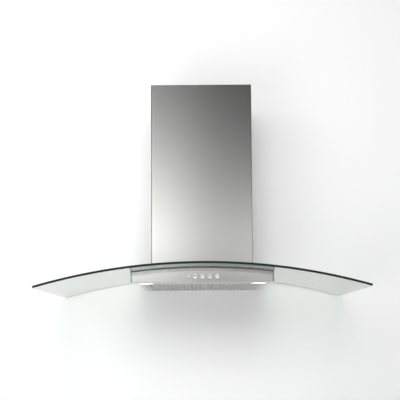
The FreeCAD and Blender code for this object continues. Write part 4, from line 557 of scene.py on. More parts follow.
def moulded(name, dark, light, roughness=0.45, grain=0.00003):
    """Moulded plastic with a fine stipple, a little paler where it is worn."""
    finish = Finish(name, light, roughness)
    stipple = finish.noise(1500, detail=2.0)
    cloud = finish.noise(22, detail=3.0)
    gloss = roughness - 0.08, roughness + 0.1
    return finish.dressed(cloud, (dark, light), stipple, gloss, grain)


def turned_metal(name, dark, light, roughness, metallic=1.0):
    """Bright metal with turning marks: thin rings about the piece's own axes."""
    finish = Finish(name, light, roughness, metallic)
    marks = finish.noise(3000, (0.3, 1, 0.3), 3.0)
    cloud = finish.noise(60, detail=2.0)
    gloss = roughness * 0.75, roughness * 1.3
    return finish.dressed(cloud, (dark, light), marks, gloss, 0.000004)


def frosted_lens():
    """Frosted white plastic that is lit from behind a little."""
    finish = Finish("frosted_lens", (0.92, 0.92, 0.90), 0.38, IOR=1.49)
    finish.shader.inputs["Emission Color"].default_value = (1.0, 0.985, 0.95, 1)
    finish.shader.inputs["Emission Strength"].default_value = 1.6
    speck = finish.noise(2200, detail=2.0)
    colors = (0.90, 0.90, 0.88), (0.94, 0.94, 0.925)
    return finish.dressed(speck, colors, speck, (0.32, 0.46), 0.00002)


def indicator_plastic():
    """Clear grey plastic over a small light that is on."""
    material = moulded("indicator_plastic", (0.62, 0.62, 0.62), (0.74, 0.74, 0.74), 0.25, 0.000005)
    shader = material.node_tree.nodes["Principled BSDF"]
    shader.inputs["Emission Color"].default_value = (1.0, 1.0, 0.98, 1)
    shader.inputs["Emission Strength"].default_value = 0.6
    return material


def rolled_aluminium():
    """The filter's aluminium: rolled, slightly cloudy."""
    finish = Finish("filter_aluminium", (0.80, 0.80, 0.795), 0.5, 0.3)
    rolled = finish.noise(1400, (1, 0.03, 1), 3.0)
    cloud = finish.noise(35, detail=4.0)
    colors = (0.76, 0.76, 0.755), (0.85, 0.85, 0.845)
    return finish.dressed(cloud, colors, rolled, (0.44, 0.56), 0.000008)


def zinc_steel():
    """Galvanised sheet: large flat crystals, each of its own shade."""
    finish = Finish("zinc_steel", (0.56, 0.57, 0.58), 0.42, 0.9)
    crystal = finish.cell_shades(140)
    split = finish.node("ShaderNodeSeparateColor", {"Color": crystal})
    speck = finish.noise(900, detail=3.0)
    finish.color(finish.mix(split.outputs["Red"], (0.50, 0.515, 0.53), (0.63, 0.64, 0.645)))
    finish.roughness(finish.between(split.outputs["Green"], 0.34, 0.52, 0, 1))
    finish.bump(speck, 0.000012)
    return finish.material


def crimped_mesh():
    """Fine aluminium mesh in many layers: bright diamonds of wire over gaps painted dark as shade."""
    finish = Finish("crimped_mesh", (0.6, 0.6, 0.595), 0.5, 0.3)
    waves = []
    for way in (1, -1):
        place = finish.stretched((1, way, 1))
        inputs = {"Vector": place, "Scale": 330.0, "Distortion": 0.6, "Detail": 1.0}
        wave = finish.node("ShaderNodeTexWave", inputs, bands_direction="DIAGONAL")
        waves.append(wave.outputs["Fac"])
    wires = maths(finish.tree, "MAXIMUM", *waves)
    stain = finish.noise(40, detail=3.0)
    # the gaps' dark grey is painted shade from the layers below, not a colour of the metal
    gap, wire = (0.30, 0.30, 0.30), (0.80, 0.80, 0.795)
    shade = finish.mix(finish.between(wires, 0, 1, 0.55, 0.9), gap, wire)
    finish.color(finish.mix(finish.between(stain, 0, 0.3), shade, (0.5, 0.5, 0.495)))
    finish.roughness(finish.between(stain, 0.48, 0.6))
    finish.bump(wires, 0.0002)
    return finish.material


def circuit_board():
    """A green board with a fine weave under its lacquer."""
    finish = Finish("circuit_board", (0.02, 0.13, 0.06), 0.3)
    weave = finish.noise(900, (1, 1, 0.15), 2.0)
    colors = (0.015, 0.10, 0.045), (0.03, 0.17, 0.08)
    return finish.dressed(weave, colors, weave, (0.24, 0.4), 0.00001)


def laminated_iron():
    """A stack of iron sheets: thin dark lines square to the motor's shaft."""
    finish = Finish("laminated_iron", (0.30, 0.29, 0.28), 0.45, 0.85)
    inputs = {"Vector": finish.place, "Scale": 330.0, "Distortion": 0.0}
    wave = finish.node("ShaderNodeTexWave", inputs, bands_direction="X").outputs["Fac"]
    stain = finish.noise(120, detail=4.0)
    sheet = finish.mix(finish.between(wave, 0, 1, 0.05, 0.35), (0.09, 0.085, 0.08), (0.36, 0.35, 0.34))
    finish.color(finish.mix(finish.between(stain, 0, 0.45), sheet, (0.22, 0.17, 0.13)))
    finish.roughness(finish.between(stain, 0.38, 0.6))
    finish.bump(wave, 0.00006)
    return finish.material


FINISHES = {
    "canopy_glass": canopy_glass(),
    "black_rubber": moulded("black_rubber", (0.016, 0.016, 0.016), (0.028, 0.028, 0.027), 0.66, 4e-5),
    "satin_steel": satin_steel("satin_steel_upright", (1, 1, 0.012)),
    "button_metal": turned_metal("button_metal", (0.60, 0.60, 0.59), (0.70, 0.70, 0.69), 0.26),
    "bright_metal": turned_metal("bright_metal", (0.86, 0.86, 0.86), (0.93, 0.93, 0.93), 0.3, 0.55),
    "circuit_board": circuit_board(),
    "spring_steel": turned_metal("spring_steel", (0.44, 0.44, 0.43), (0.58, 0.58, 0.57), 0.24),
    "black_plastic": moulded("black_plastic", (0.022, 0.022, 0.023), (0.034, 0.034, 0.035), 0.42),
    "indicator_plastic": indicator_plastic(),
    "frosted_lens": frosted_lens(),
    "lamp_aluminium": turned_metal("lamp_aluminium", (0.60, 0.60, 0.60), (0.72, 0.72, 0.72), 0.4),
    "filter_aluminium": rolled_aluminium(),
    "grey_plastic": moulded("grey_plastic", (0.40, 0.40, 0.40), (0.47, 0.47, 0.465), 0.42),
    "zinc_steel": zinc_steel(),
    "screw_steel": turned_metal("screw_steel", (0.52, 0.52, 0.50), (0.66, 0.66, 0.64), 0.28),
    "motor_paint": moulded("motor_paint", (0.055, 0.058, 0.062), (0.075, 0.078, 0.083), 0.36, 0.00002),
    "axle_steel": turned_metal("axle_steel", (0.58, 0.58, 0.57), (0.70, 0.70, 0.69), 0.18),
    "laminated_iron": laminated_iron(),
    "capacitor_can": turned_metal("capacitor_can", (0.60, 0.60, 0.60), (0.74, 0.74, 0.74), 0.32),
    "lead_jacket": moulded("lead_jacket", (0.62, 0.62, 0.60), (0.70, 0.70, 0.68), 0.5, 0.00002),
}
STEEL_ACROSS = satin_steel("satin_steel_across", (0.012, 1, 1))
GLASS_EDGE = canopy_edge()
GASKET_RUBBER = moulded("gasket_rubber", (0.055, 0.056, 0.056), (0.075, 0.076, 0.075), 0.6, 0.00003)


# ---- the glass and what it rests on ----

def notched(half, reach):
    """A rectangle against the wall, with the notch that the fan casing needs."""
    corner = 0.005
    return bent([
        (-half, -reach, corner), (half, -reach, corner), (half, 0, 0), (NOTCH_HALF, 0, 0),
        (NOTCH_HALF, -NOTCH_REACH, NOTCH_ROUND), (-NOTCH_HALF, -NOTCH_REACH, NOTCH_ROUND),
        (-NOTCH_HALF, 0, 0), (-half, 0, 0)])


def make_glass():
    """The canopy: a flat outline with its notch and holes, bent about the glass's axis."""
    step, edge, hole = 0.012, 0.0008, 0.005
    outline = divided(notched(GLASS_HIGH[0], -GLASS_LOW[1]), step)
    holes = [ring_of(x, y, hole) for x, y in CLAMP_PLACES]
    parts = pressed(outline, holes, -GLASS_THICK, 0, edge, bent_square, step)
    piece("glass_sheet", parts, [FINISHES["canopy_glass"], GLASS_EDGE], "glass_canopy")


def make_gasket():
    """The rubber sheet under the glass, whose front edge shows as a thin dark line."""
    step, edge, hole = 0.02, 0.0005, 0.0034
    outline = divided(notched(PANEL_HIGH[0], -PANEL_LOW[1]), step)
    holes = [ring_of(x, y, hole, 24) for x, y in CLAMP_PLACES]
    low, high = -GLASS_THICK - GASKET_THICK, -GLASS_THICK
    parts = pressed(outline, holes, low, high, edge, bent_upright, step)
    piece("gasket_sheet", parts, GASKET_RUBBER, "glass_gasket")


# ---- the chimney ----

def make_lower_chimney():
    """The lower cover: a folded outline carried up from the bend of the glass to a level top."""
    half, front = CHIMNEY_HIGH[0], CHIMNEY_LOW[1]
    fold, flange, gap, step, edge = 0.003, 0.014, 0.001, 0.012, 0.00025
    inner, lap, side = fold - SHEET, half - flange, half - SHEET
    outline = bent([
        (-half, front, fold), (half, front, fold), (half, 0, fold), (lap, 0, 0), (lap, -SHEET, 0),
        (side, -SHEET, inner), (side, front + SHEET, inner), (-side, front + SHEET, inner),
        (-side, -SHEET, inner), (-lap, -SHEET, 0), (-lap, 0, 0), (-half, 0, fold)])
    outline = divided(outline, step)
    low = bend_height(BEND, outline[:, 0]) + gap
    high = np.full(len(outline), CHIMNEY_HIGH[2])
    profile = (edge, low), (0, low + edge), (0, high - edge), (edge, high)
    rings = [np.column_stack([inset(outline, inward), level]) for inward, level in profile]
    piece("lower_cover", [loft(rings)], FINISHES["satin_steel"], "lower_chimney")


# ---- the body under the glass ----

def make_panel():
    """The front panel: a face with folded ends and a rounded fold into its lower lip."""
    half, front, back = PANEL_HIGH[0], PANEL_LOW[1], PANEL_HIGH[1]
    low, thick = PANEL_LOW[2], PANEL_SHEET
    gap, corner, turn_in, fold, edge, lip_edge = 0.0003, 0.005, 0.0015, 0.0016, 0.0003, 0.0002
    beside = TRAY_HIGH[0] + gap
    path = divided(bent_path([
        (-beside, back, 0), (-half, back, turn_in), (-half, front, corner), (half, front, corner),
        (half, back, turn_in), (beside, back, 0)]), 0.01, closed=False)
    away = sideways(path, closed=False)
    level, top = np.full(len(path), low), bend_height(SEAT_TOP, path[:, 0])
    turn = np.linspace(0, QUARTER, 6)
    profile = [(fold * (1 - math.sin(t)), level + fold * (1 - math.cos(t))) for t in turn]
    profile += [(0, top - edge), (edge, top), (thick - edge, top), (thick, top - edge)]
    profile += [(thick, level + fold), (fold, level + thick)]
    rings = [np.column_stack([path + away * inward, height]) for inward, height in profile]
    wall = loft(np.array(rings).transpose(1, 0, 2)[:, ::-1])

    lip_end, lip_reach, round_off, middle, notch, inner = 0.0135, 0.028, 0.018, 0.118, 0.002, 0.0035
    window, side, lip_back, lip_front = half - lip_end, half - thick, front + lip_reach, front + thick
    lip = bent([
        (-side, lip_front, inner), (side, lip_front, inner), (side, back, 0), (window, back, 0),
        (window, lip_back, round_off), (middle, lip_back, round_off), (middle, back, notch),
        (-middle, back, notch), (-middle, lip_back, round_off), (-window, lip_back, round_off),
        (-window, back, 0), (-side, back, 0)])
    plate = pressed(lip, [], low, low + thick, lip_edge)
    piece("front_face", [wall, *plate], STEEL_ACROSS, "front_panel")


def make_tray():
    """The tray: walls up to the bent seat, and a floor with openings for the filter and lamps."""
    half, front, low = TRAY_HIGH[0], TRAY_LOW[1], TRAY_LOW[2]
    near_round, far_round, fold, edge, step = 0.0015, 0.012, 0.0016, 0.0003, 0.015
    outline = bent([(-half, front, near_round), (half, front, near_round),
                    (half, 0, far_round), (-half, 0, far_round)])
    walls = divided(outline, step)
    top = bend_height(SEAT_UNDER, walls[:, 0])
    flat = np.full(len(walls), low)
    profile = [(fold, flat), (0.0005, flat + 0.0005), (0, flat + fold), (0, top - edge), (edge, top),
               (SHEET - edge, top), (SHEET, top - edge), (SHEET, flat + SHEET), (fold, flat + SHEET)]
    profile.append(profile[0])
    rings = [np.column_stack([inset(walls, inward), level]) for inward, level in profile]
    side, lamp_hole, corner, lip = FILTER_HALF + FILTER_GAP, 0.0228, 0.002, 0.0002
    opening = box_loop(-side, side, FILTER_LOW[1] - FILTER_GAP, FILTER_HIGH[1] + FILTER_GAP, corner)
    lamps = [ring_of(x, LAMP_PLACE, lamp_hole, 64) for x in (-LAMP_SIDE, LAMP_SIDE)]
    floor = pressed(inset(outline, SHEET), [opening] + lamps, low, low + SHEET, lip)
    piece("tray_shell", [loft(rings, caps=False), *floor], STEEL_ACROSS, "body_tray")


# ---- the controls ----

def make_buttons():
    """Push-buttons with a dished face: turned about their axes, flange and stem behind."""
    cap, rim, stem, flange, edge = 0.0042, 0.0005, 0.0018, 0.0058, 0.0002
    stem_long, back = 0.005, 0.0064
    turn = np.linspace(0, QUARTER, 5)
    for name in BUTTONS:
        low, high = corners_of(name)
        x, _, z = centre_of(name)
        start, tip = -high[1], -low[1]
        body = [(0, start), (stem - edge, start), (stem, start + edge), (stem, start + stem_long),
                (flange - edge, start + stem_long), (flange, start + stem_long + edge),
                (flange, start + back - edge), (flange - edge, start + back), (cap, start + back)]
        round_rim = np.column_stack([cap - rim + rim * np.cos(turn), tip - rim + rim * np.sin(turn)])
        dish = [(0.0031, tip - 0.00005), (0.0022, tip - 0.0003), (0.0011, tip - 0.00045)]
        dish.append((0, tip - rim))
        shape = lathe([*body, *round_rim, *dish], 48, closed=False)
        piece(name + "_cap", [stand(shape, "out", (x, 0, z))], FINISHES["button_metal"], name)


def make_bezels():
    """The rings round the buttons: a sleeve with a rounded lip on the panel."""
    front = -PANEL_LOW[1]
    bore, sleeve, lip, deep, proud, gap = 0.0044, 0.0053, 0.0061, 0.0022, 0.0005, 0.0001
    turn = np.linspace(0, math.pi, 7)
    across = (bore + lip) / 2 + (lip - bore) / 2 * np.cos(turn)
    crown = np.column_stack([across, front + proud * np.sin(turn) ** 0.7])
    profile = [(bore, front - deep), (sleeve, front - deep), (sleeve, front - gap), *crown]
    ring = lathe(profile, 48)
    rings = [stand(ring, "out", centre_of(name) * (1, 0, 1)) for name in BUTTONS]
    piece("button_rings", rings, FINISHES["bright_metal"], "button_bezels")


# ---- the lamps ----

LAMP_LOW, LAMP_HIGH = corners_of("lamp_bezel_right")
LAMP_SIDE = (LAMP_LOW[0] + LAMP_HIGH[0]) / 2
LAMP_PLACE = (LAMP_LOW[1] + LAMP_HIGH[1]) / 2
LAMP_FLANGE = (LAMP_HIGH[0] - LAMP_LOW[0]) / 2


def make_lamps():
    """On each side a turned bezel ring and a frosted lens with a shallow crown."""
    under, top = LAMP_LOW[2], LAMP_HIGH[2]
    bore, sleeve, flange, thick, rim = 0.0218, 0.0226, LAMP_FLANGE, 0.001, 0.0008
    turn = np.linspace(0, QUARTER, 5)
    outer = np.column_stack([flange - rim * (1 - np.sin(turn)), under + rim * (1 - np.cos(turn))])
    ring = lathe([(bore, under + 0.0006), (0.0220, under + 0.0001), (sleeve, under), *outer,
                  (flange, under + thick), (sleeve, under + thick), (sleeve, top), (bore, top)], 96)
    for side, x in (("left", -LAMP_SIDE), ("right", LAMP_SIDE)):
        place = (x, LAMP_PLACE, 0)
        bezel = stand(ring, "up", place)
        piece(f"lamp_ring_{side}", [bezel], FINISHES["bright_metal"], f"lamp_bezel_{side}")
        low, high = corners_of(f"lamp_lens_{side}")
        radius, edge, bulge, shoulder = (high[0] - low[0]) / 2, 0.0002, 0.0006, 0.0009
        r = np.linspace(0, radius - edge, 14)
        crown = np.column_stack([r, low[2] + bulge * (r / radius) ** 2])
        side_wall = [(radius, low[2] + shoulder), (radius, high[2]), (0, high[2])]
        lens = stand(lathe([*crown, *side_wall], 96, closed=False), "up", place)
        piece(f"lens_disc_{side}", [lens], FINISHES["frosted_lens"], f"lamp_lens_{side}")


# ---- the grease filter ----

HOUSING_HALF = 0.0167              # housing of the catch in the filter's frame
HOUSING_BACK = -0.2715

def make_nets():
    """The two nets of expanded metal: flat strands that run along X, swing half a step to each
    side and meet their neighbours at every second turn. Neighbours swing the opposite way."""
    low, high = corners_of("filter_meshes")
    step_x, step_y, wire, thick = 0.012, 0.0046, 0.0012, 0.0007
    across = round((high[0] - low[0]) / step_x) * 2 + 1
    along = round((high[1] - low[1]) / step_y)
    x = np.linspace(low[0], high[0], across)
    swing = np.where(np.arange(across) % 2 == 0, 1.0, -1.0)
    middle = (np.arange(along) + 0.5) * (high[1] - low[1]) / along + low[1]
    side = np.where(np.arange(along) % 2 == 0, 1.0, -1.0)
    reach = (high[1] - low[1]) / along / 2 - wire * 0.35
    tilt = swing * thick * 0.25
    room_half, room_y = HOUSING_HALF + 0.0005, HOUSING_BACK - 0.0005
    strands = []
    for y, way in zip(middle, side):
        line = np.column_stack([x, y + way * swing * reach, tilt])
        inside = (np.abs(line[:, 0]) < room_half) & (line[:, 1] < room_y)
        strands += broken(line, inside)
    levels = (low[2] + thick / 2, high[2] - thick / 2)
    parts = [strand(run, wire, thick, level) for level in levels for run in strands]
    piece("filter_nets", parts, FINISHES["filter_aluminium"], "filter_meshes")


def strand(run, wide, thick, level):
    """A flat strand along a run of (x, y, tilt) points, whose two edges tilt opposite ways."""
    spots, tilt = run[:, :2], run[:, 2]
    normal = sideways(spots, closed=False) * wide / 2
    half = thick / 2 - np.max(np.abs(tilt))
    lines = []
    for way, up in ((-1, -1), (1, -1), (1, 1), (-1, 1)):
        lines.append(np.column_stack([spots + way * normal, level + up * half - way * tilt]))
    return loft(np.array(lines).transpose(1, 0, 2))


def broken(line, gone):
    """The stretches of a line between the points that are gone, each of two points or more."""
    number = np.cumsum(gone)
    runs = [line[(number == k) & ~gone] for k in np.unique(number[~gone])]
    return [run for run in runs if len(run) > 1]


def make_core():
    """The pad between the nets: a sheet whose faces rise and fall by the product of two waves."""
    low, high = corners_of("filter_core")
    pitch, relief, step, edge = 0.0085, 0.0006, 0.0017, 0.0004
    inner, back = HOUSING_HALF + 0.0006, HOUSING_BACK - 0.0006
    outline = np.array([(low[0], low[1]), (-inner, low[1]), (-inner, back), (inner, back),
                        (inner, low[1]), (high[0], low[1]), (high[0], high[1]), (low[0], high[1])])

    def crimped(points):
        wave = np.sin(TURN * points[:, 0] / pitch) * np.sin(TURN * points[:, 1] / pitch)
        middle = (low[2] + high[2]) / 2
        inward = np.sign(middle - points[:, 2]) * relief * (1 + wave) / 2
        return np.column_stack([points[:, :2], points[:, 2] + inward])

    parts = pressed(divided(outline, 0.004), [], low[2], high[2], edge, crimped, step)
    piece("crimped_pad", parts, crimped_mesh(), "filter_core", crease=60)


def make_catch():
    """The sprung catch: a slider with a ribbed finger dish in its underside, and a nose in front."""
    low, high = corners_of("filter_catch")
    thick, nose_half, nose_reach, nose_thick = 0.004, 0.008, 0.0045, 0.002
    near, far = high[1], low[1] + nose_reach
    middle_y, top = (near + far) / 2, low[2] + thick
    dish, deep, rib = 0.0092, 0.0019, 0.0022

    def dished(points):
        away = np.hypot(points[:, 0], points[:, 1] - middle_y) / dish
        bowl = deep * np.clip(1.15 - away ** 4, 0, 1)
        ribs = 0.00035 * (1 + np.cos(TURN * points[:, 1] / rib)) * np.clip(3 - 3 * away, 0, 1)
        share = np.clip((top - points[:, 2]) / thick, 0, 1)
        return np.column_stack([points[:, :2], points[:, 2] + share * (bowl - ribs)])

    corner, nose_corner, overlap, edge, step, fine_step = 0.0015, 0.0006, 0.003, 0.0005, 0.001, 0.00055
    outline = divided(box_loop(low[0], high[0], far, near, corner), step)
    plate = pressed(outline, [], low[2], top, edge, dished, fine_step)
    outline = box_loop(-nose_half, nose_half, low[1], far + overlap, nose_corner)
    nose = pressed(outline, [], high[2] - nose_thick, high[2], edge)
    piece("catch_slider", [*plate, *nose], FINISHES["grey_plastic"], "filter_catch", crease=50)


# ---- hardware ----

def spring(radius, wire, start, end, turns):
    """A helix about the Z axis between two heights, with its last turn at each end closed up."""
    closed, steps_a_turn, sides = 0.8, 20, 8
    share = np.linspace(0, 1, int(turns * steps_a_turn) + 1)
    rise = np.clip((share * turns - closed) / (turns - 2 * closed), 0, 1)
    angle = TURN * turns * share
    height = start + wire + (end - start - 2 * wire) * rise
    return tube(np.column_stack([radius * np.cos(angle), radius * np.sin(angle), height]), wire, sides)


def make_springs():
    """The return springs on the buttons' stems, and the two springs behind the catch."""
    low, high = corners_of("button_springs")
    radius, wire, turns = 0.00238, 0.00034, 4
    coil = spring(radius, wire, -high[1], -low[1], turns)
    coils = [stand(coil, "out", centre_of(name) * (1, 0, 1)) for name in BUTTONS]
    piece("button_coils", coils, FINISHES["spring_steel"], "button_springs")

    low, high = corners_of("catch_springs")
    wire, outer, turns = 0.0003, 0.002, 7
    coil = spring(outer - wire, wire, -high[1], -low[1], turns)
    middle = high[0] - outer, 0, (low[2] + high[2]) / 2
    coils = [stand(coil, "out", (side * middle[0], *middle[1:])) for side in (-1, 1)]
    piece("catch_coils", coils, FINISHES["spring_steel"], "catch_springs")


def cross_radius(angle, arm, half_width):
    """Radius of a cross at an angle: the nearer of an arm's end and an arm's side."""
    off = np.abs((angle + QUARTER / 2) % QUARTER - QUARTER / 2)
    return np.minimum(arm / np.cos(off), half_width / np.maximum(np.sin(off), 1e-6))


def cross_screw(head, height, shank, length, pitch=0.001):
    """A pan-head screw with a cross recess. Its rings follow the cross inside the recess and turn
    round towards the rim; the thread is a row of rings that are wide and narrow by turns. The head
    stands on Z = 0 and the shank hangs below it."""
    arm, half_width = head * 0.56, head * 0.12
    corner = math.atan2(half_width, arm)
    offsets = np.array([-QUARTER / 2, -0.62, -0.42, -corner, 0, corner, 0.42, 0.62])
    angle = (np.arange(4)[:, None] * QUARTER + offsets).ravel()
    cross = cross_radius(angle, arm, half_width)

    def dome(radius):
        return height * (1 - 0.28 * (radius / head) ** 2)

    round_off = (cross + 0.8 * head) / 2
    rings = [(0.82 * cross, height * 0.4), (cross, dome(cross)), (round_off, dome(round_off)),
             (0.8 * head, dome(0.8 * head)), (0.92 * head, height * 0.66), (0.99 * head, height * 0.38),
             (head, height * 0.1), (0.98 * head, 0.0), (shank, 0.0)]
    for start in np.arange(0, length - pitch, pitch):
        rings += [(shank * 0.9, -start - pitch * 0.25), (shank, -start - pitch * 0.75)]
    rings.append((shank * 0.8, -length))
    return loft([upright_ring(radius, angle, level) for radius, level in rings[::-1]])


def upright_ring(radius, angle, level):
    """Points round the Z axis at angles, each at its own radius and level."""
    radius, level = np.broadcast_to(radius, angle.shape), np.broadcast_to(level, angle.shape)
    return np.column_stack([radius * np.cos(angle), radius * np.sin(angle), level])


def hexagon(radius, corner):
    """A six-sided loop with rounded corners."""
    turn = np.linspace(0, TURN, 6, endpoint=False)
    return bent([(radius * math.cos(a), radius * math.sin(a), corner) for a in turn], 2)


def make_clamps():
    """Six cross-head screws and their nuts, which clamp the glass to the seat."""
    head, height, shank, spare = 0.0055, 0.0035, 0.003, 0.002
    nut_radius, nut_high, corner, edge = 0.0055, 0.005, 0.0006, 0.0004
    level = corners_of("clamp_screws")[1][2] - height
    screws, nuts = [], []
    for x, y in CLAMP_PLACES:
        under = bend_height(SEAT_UNDER, abs(x) + nut_radius)
        length = level - (under - nut_high - spare)
        screws.append(stand(cross_screw(head, height, shank, length), "up", (x, y, level)))
        bore = ring_of(0, 0, shank, 24)
        nut = pressed(hexagon(nut_radius, corner), [bore], under - nut_high, under, edge)
        nuts += [stand(part, "up", (x, y, 0)) for part in nut]
    piece("canopy_screws", screws, FINISHES["screw_steel"], "clamp_screws")
    piece("canopy_nuts", nuts, FINISHES["screw_steel"], "clamp_nuts")


def make_collar_screws():
    """Four cross-head screws in the corners of the outlet collar."""
    low, high = corners_of("collar_screws")
    head, height, shank, length, pitch = 0.003, 0.002, 0.0016, 0.0035, 0.0007
    screw = cross_screw(head, height, shank, length, pitch)
    screws = [stand(screw, "up", (x, y, high[2] - height))
              for x in (low[0] + head, high[0] - head) for y in (low[1] + head, high[1] - head)]
    piece("outlet_screws", screws, FINISHES["screw_steel"], "collar_screws")


def make_cover_screws(name, node, height, length):
    """Two cross-head screws that face to the sides, one on each side of a cover."""
    head, shank = 0.0036, 0.002
    low, high = corners_of(node)
    y, z = centre_of(node)[1:]
    screw = cross_screw(head, height, shank, length)
    places = ("left", low[0] + height), ("right", high[0] - height)
    screws = [stand(screw, side, (x, y, z)) for side, x in places]
    piece(name, screws, FINISHES["screw_steel"], node)


def make_gland():
    """The cable gland: a hexagon on the box, a ribbed dome nut with a rubber lip, and a thread."""
    low, high = corners_of("cable_gland")
    y, z = centre_of("cable_gland")[1:]
    inside, bore, radius, ribs, groove = 0.008, 0.0038, 0.008, 16, 0.0004
    wall = high[0] - inside
    tip = wall - low[0]
    collar = pressed(hexagon(radius, 0.0008), [ring_of(0, 0, bore, 32)], 0, 0.005, 0.0004)

    angle = np.linspace(0, TURN, 96, endpoint=False)
    scallop = groove * (1 - np.abs(np.cos(angle * ribs / 2)) ** 0.5)
    outer, start, mouth = radius * 0.97, 0.0052, bore + 0.0014
    outside = ((start, 0.97), (0.0056, 1), (0.0105, 1), (0.0125, 0.93), (tip - 0.0008, 0.78),
               (tip - 0.0003, 0.74))
    nut = [upright_ring(outer * share - scallop, angle, level) for level, share in outside]
    inner = (mouth, tip - 0.0003), (mouth, tip - 0.001), (bore, tip - 0.001), (bore, start)
    nut += [upright_ring(r, angle, level) for r, level in inner]
    nut.append(nut[0])
    lip = lathe([(bore, tip - 0.0012), (bore + 0.0013, tip - 0.0012), (bore + 0.0013, tip - 0.0002),
                 (bore + 0.0007, tip), (bore, tip - 0.0002)], 48)

    pitch, crest, deep, root = 0.0015, 0.006, 0.0004, 0.0055
    count = int(2 * inside / pitch)
    crests = [(crest - deep * (number % 2), -number * pitch / 2) for number in range(count)]
    thread = lathe([(bore, 0.0), *crests, (root, -inside), (bore, -inside)][::-1], 48)
    parts = [*collar, loft(nut, caps=False), thread, lip]
    finishes = [FINISHES["black_plastic"]] * (len(parts) - 1) + [FINISHES["black_rubber"]]
    piece("gland_nut", [stand(part, "left", (wall, y, z)) for part in parts], finishes, "cable_gland")


def make_capacitor():
    """The capacitor: a drawn can with a rolled rim, a sunk cap and two blade terminals."""
    low, high = corners_of("capacitor")
    x, y, _ = centre_of("capacitor")
    radius = (high[0] - low[0]) / 2
    blade, bend, groove, curl, sunk = 0.006, 0.0015, 0.0009, 0.0012, 0.0015
    foot, rim = low[2], high[2] - blade
    can = [(0, foot), (radius - bend, foot), (radius - 0.0004, foot + 0.0004), (radius, foot + bend),
           (radius, rim - 0.006), (radius - groove, rim - 0.005), (radius - groove, rim - 0.004),
           (radius, rim - 0.003), (radius, rim - curl / 2), (radius - curl / 2, rim),
           (radius - curl, rim - 0.0004), (radius - curl, rim - sunk)]
    cap = [(radius - curl, rim - sunk), (radius - 0.004, rim - 0.0013), (0.006, rim - 0.0008),
           (0.0055, rim + 0.0006), (0, rim + 0.0006)]
    parts = [lathe(can, 64, closed=False), lathe(cap, 64, closed=False)]
    apart, half_thick, half_wide, edge = 0.003, 0.0004, 0.0031, 0.0001
    for middle in (-apart, apart):
        outline = box_loop(middle - half_thick, middle + half_thick, -half_wide, half_wide)
        parts += pressed(outline, [], rim, high[2], edge)
    placed = [stand(part, "up", (x, y, 0)) for part in parts]
    finishes = [FINISHES["capacitor_can"], FINISHES["black_plastic"]] + [FINISHES["spring_steel"]] * 4
    piece("capacitor_body", placed, finishes, "capacitor")


# ---- pieces that keep the frame's own shape, with rounded edges ----

ROUNDED = {
    "glass_seat": 0.0002, "upper_chimney": 0.0002, "filter_frame": 0.0008,
    "filter_hinge_sockets": 0.0005, "casing_shell": 0.0002, "back_plate": 0.0003, "casing_lid": 0.0002,
    "casing_feet": 0.0004, "ceiling_bracket": 0.0004, "motor_bracket": 0.0005, "outlet_collar": 0.0004,
    "terminal_box": 0.0006, "terminal_lid": 0.0006, "switch_housing": 0.0004, "lamp_module_left": 0.0003,
    "lamp_module_right": 0.0003, "inlet_rings": 0.0005, "fan_wheel": 0.0003, "fan_rings": 0.0004,
    "scroll_left": 0.0005, "scroll_right": 0.0005, "flap_front": 0.0003, "flap_rear": 0.0003,
    "clamp_bushes": 0.0006, "motor_can": 0.0008, "motor_end_bell": 0.0008, "control_board": 0.0002,
}


make_glass()
make_gasket()
make_lower_chimney()
make_panel()
make_tray()
make_buttons()
make_bezels()
make_lamps()
make_nets()
make_core()
make_catch()
make_springs()
make_clamps()
make_collar_screws()
make_cover_screws("cover_screws", "lower_chimney_screws", 0.002, 0.006)
make_cover_screws("ceiling_screws", "upper_chimney_screws", 0.001, 0.005)
make_gland()
make_capacitor()
for node_name, edge_width in ROUNDED.items():
    softened(node_name, edge_width)
for node_name, item in NODES.items():
    if not item.hide_render:
        item.data.materials.clear()
        item.data.materials.append(FINISHES[SLOT_OF[node_name]])


# ---- the camera, the light and the wall ----

FOCAL = 751.3                      # focal length in pixels of the 400 pixel frame
FRAME = 400
SENSOR = 36.0
CAMERA_PLACE = (0.0, -2.472, -0.351)
FAR = 50
TILT = math.radians(4.28)
ROLL = math.radians(-0.4)
SHIFT = (-0.0059, 0.2015)


def set_camera():
    """A camera below the hood's own height, level with the wall and tilted up a little."""
    data = bpy.data.cameras.new("camera")
    camera = add_object("camera", data)
    data.sensor_width = SENSOR
    data.lens = FOCAL * SENSOR / FRAME
    data.shift_x, data.shift_y = SHIFT
    data.clip_end = FAR
    tilted = Matrix.Rotation(QUARTER + TILT, 4, "X") @ Matrix.Rotation(ROLL, 4, "Z")
    camera.matrix_world = Matrix.Translation(CAMERA_PLACE) @ tilted
    bpy.context.scene.camera = camera


# Brightness of the room in reflections. Each window is a profile in the direction's X times one
# in its Z, and the windows add up.
LEFT_WINDOW = (
    ((-1.0, 0.5), (-0.95, 0.1), (-0.4, 0.2), (-0.2, 1.0), (-0.11, 1.8), (-0.075, 1.5), (-0.03, 1.0),
     (0.01, 0.45), (0.06, 0.38), (0.2, 0.25), (0.6, 0.08), (1.0, 0.5)),
    ((-1.0, 0.45), (-0.15, 1.1), (0.04, 0.8), (0.09, 0.8), (0.105, 1.8), (0.12, 1.9), (0.16, 1.5),
     (0.24, 0.8), (0.32, 0.37), (0.42, 0.2), (0.8, 0.3), (1.0, 0.45)),
)
RIGHT_WINDOW = (
    ((-1.0, 0.0), (0.0, 0.0), (0.03, 0.18), (0.09, 0.85), (0.14, 0.7), (0.3, 0.0), (1.0, 0.0)),
    ((-1.0, 0.0), (-0.1, 0.6), (0.08, 0.9), (0.11, 1.1), (0.16, 0.6), (0.22, 0.05), (0.3, 0.0),
     (1.0, 0.0)),
)
DIFFUSE_LEVEL = 0.33
FLOOR = -0.9                       # height of the stage's floor


